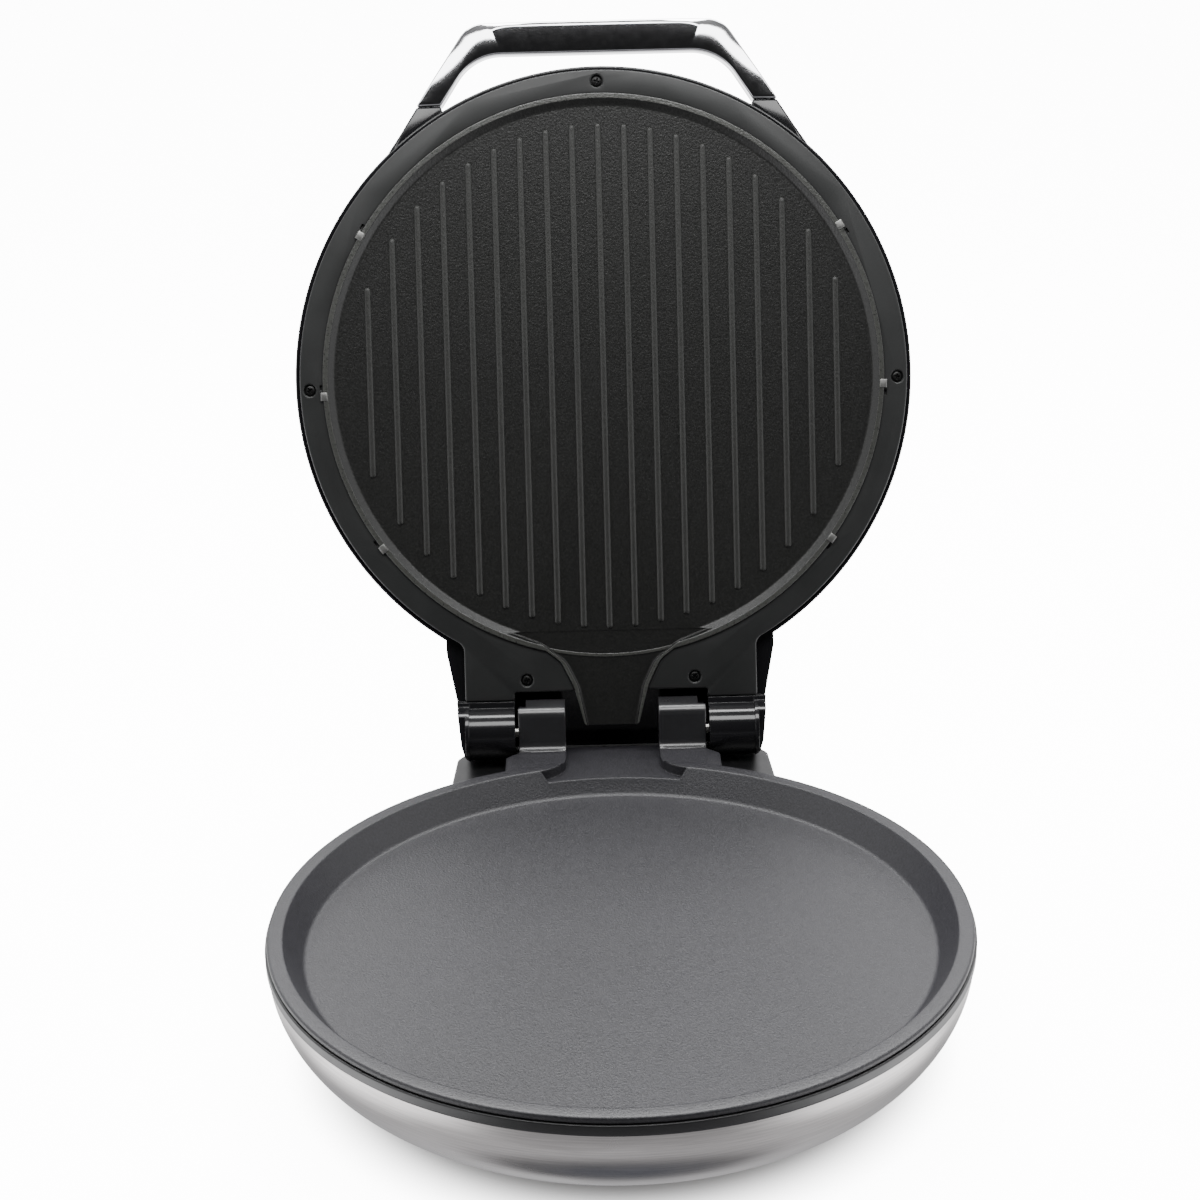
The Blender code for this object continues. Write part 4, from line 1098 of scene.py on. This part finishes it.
def place_camera():
    """Camera a little above the machine, square on to it."""
    azimuth, elevation, roll = (math.radians(a) for a in (-0.32, 21.73, -1.31))
    distance = 0.98685
    aim = Vector((-0.00542, PAN_Y, RIM_Z * MM + 0.15803))
    back = Vector((math.sin(azimuth) * math.cos(elevation), -math.cos(azimuth) * math.cos(elevation),
                   math.sin(elevation)))
    right = Vector((0, 0, 1)).cross(back).normalized()
    up = back.cross(right)
    turn = Matrix((right, up, back)).transposed() @ Matrix.Rotation(roll, 3, 'Z')
    camera = bpy.data.cameras.new("camera")
    camera.sensor_width = 36.0
    camera.lens = 66.71
    camera.shift_x = -0.0011
    camera.shift_y = 0.0003
    holder = bpy.data.objects.new("camera", camera)
    holder.matrix_world = Matrix.Translation(aim + back * distance) @ turn.to_4x4()
    bpy.context.scene.collection.objects.link(holder)
    bpy.context.scene.camera = holder


# ---------------------------------------------------------------- add-on

class MakerSizes(bpy.types.PropertyGroup):
    """Sizes that a user may change without touching the frame."""
    rib_count: IntProperty(name="Ribs", description="Number of ribs on the upper plate", default=19, min=1)
    rib_pitch: FloatProperty(name="Rib pitch", description="Distance between ribs", default=0.0141,
                             unit='LENGTH', precision=4)
    rib_circle: FloatProperty(name="Rib circle", description="Radius of the circle that the ribs end on",
                              default=0.137, unit='LENGTH', precision=4)
    rib_width: FloatProperty(name="Rib width", description="Width of one rib", default=0.0036,
                             unit='LENGTH', precision=4)
    rib_height: FloatProperty(name="Rib height", description="Height of a rib over the plate",
                              default=0.0012, unit='LENGTH', precision=4)
    handle_edge: FloatProperty(name="Handle edge", description="Rounding of the handle's edges",
                               default=0.0008, unit='LENGTH', precision=4)
    handle_slope: FloatProperty(name="Handle slope",
                                description="Fall of the slope outside the handle's ridge",
                                default=0.003, unit='LENGTH', precision=4)


def colour_property(label, default):
    return FloatVectorProperty(name=label, description=f"Base colour of the {label.lower()}",
                               subtype='COLOR', size=3, min=0.0, max=1.0, default=default)


class MakerColours(bpy.types.PropertyGroup):
    """Base colours of the finishes, in linear light."""
    pan: colour_property("Pan coating", (0.009, 0.0088, 0.0106))
    plate: colour_property("Plate coating", (0.0062, 0.0064, 0.0058))
    knuckle: colour_property("Base knuckles", (0.016, 0.016, 0.0172))
    ring: colour_property("Lid ring", (0.011, 0.0117, 0.0115))
    trim: colour_property("Black trim", (0.008, 0.008, 0.0085))
    cover: colour_property("Lid cover", (0.008, 0.008, 0.009))
    steel: colour_property("Steel", (0.46, 0.44, 0.43))
    chrome: colour_property("Chrome", (0.75, 0.75, 0.77))


class MAKER_OT_finishes(bpy.types.Operator):
    """Make every material"""
    bl_idname = "pizza_maker.finishes"
    bl_label = "Finishes"

    def execute(self, context):
        make_finishes(context.scene.maker_colours)
        return {'FINISHED'}


def piece_operator(build):
    """An Operator class that builds one piece or one group of like pieces, named after its function."""
    name = build.__name__.removeprefix("build_")

    def execute(self, context):
        build()
        return {'FINISHED'}
    members = {"__doc__": build.__doc__, "bl_idname": f"pizza_maker.{name}",
               "bl_label": name.replace("_", " ").capitalize(), "execute": execute}
    return type(f"MAKER_OT_{name}", (bpy.types.Operator,), members)


PIECE_OPERATORS = [piece_operator(build) for build in (
    build_lower_pan, build_base_knuckles, build_band, build_bowl, build_hinge_block, build_gland, build_feet,
    build_bottom_screws, build_lid_ring, build_ring_screws, build_upper_plate, build_plate_clips,
    build_lid_cover, build_lid_dome, build_lamps, build_handle, build_handle_screws, build_hinge_pins,
    finish_inner_parts)]


class MAKER_OT_stage(bpy.types.Operator):
    """Lay the floor, the lights and the camera"""
    bl_idname = "pizza_maker.stage"
    bl_label = "Stage"

    def execute(self, context):
        build_stage()
        return {'FINISHED'}


OPERATORS = [MAKER_OT_finishes, *PIECE_OPERATORS, MAKER_OT_stage]


class MAKER_PT_panel(bpy.types.Panel):
    """Sizes, colours and one button for each piece"""
    bl_idname = "MAKER_PT_panel"
    bl_label = "Pizza Maker"
    bl_space_type = 'VIEW_3D'
    bl_region_type = 'UI'
    bl_category = "Pizza Maker"

    def draw(self, context):
        for group in (context.scene.maker_sizes, context.scene.maker_colours):
            for key in group.__annotations__:
                self.layout.prop(group, key)
        for operator in OPERATORS:
            self.layout.operator(operator.bl_idname)


CLASSES = [MakerSizes, MakerColours, *OPERATORS, MAKER_PT_panel]


def register():
    for cls in CLASSES:
        bpy.utils.register_class(cls)
    bpy.types.Scene.maker_sizes = PointerProperty(type=MakerSizes)
    bpy.types.Scene.maker_colours = PointerProperty(type=MakerColours)


def unregister():
    del bpy.types.Scene.maker_colours
    del bpy.types.Scene.maker_sizes
    for cls in reversed(CLASSES):
        bpy.utils.unregister_class(cls)


def main():
    register()
    for operator in OPERATORS:
        group, name = operator.bl_idname.split(".")
        getattr(getattr(bpy.ops, group), name)()


if __name__ == "__main__":
    main()
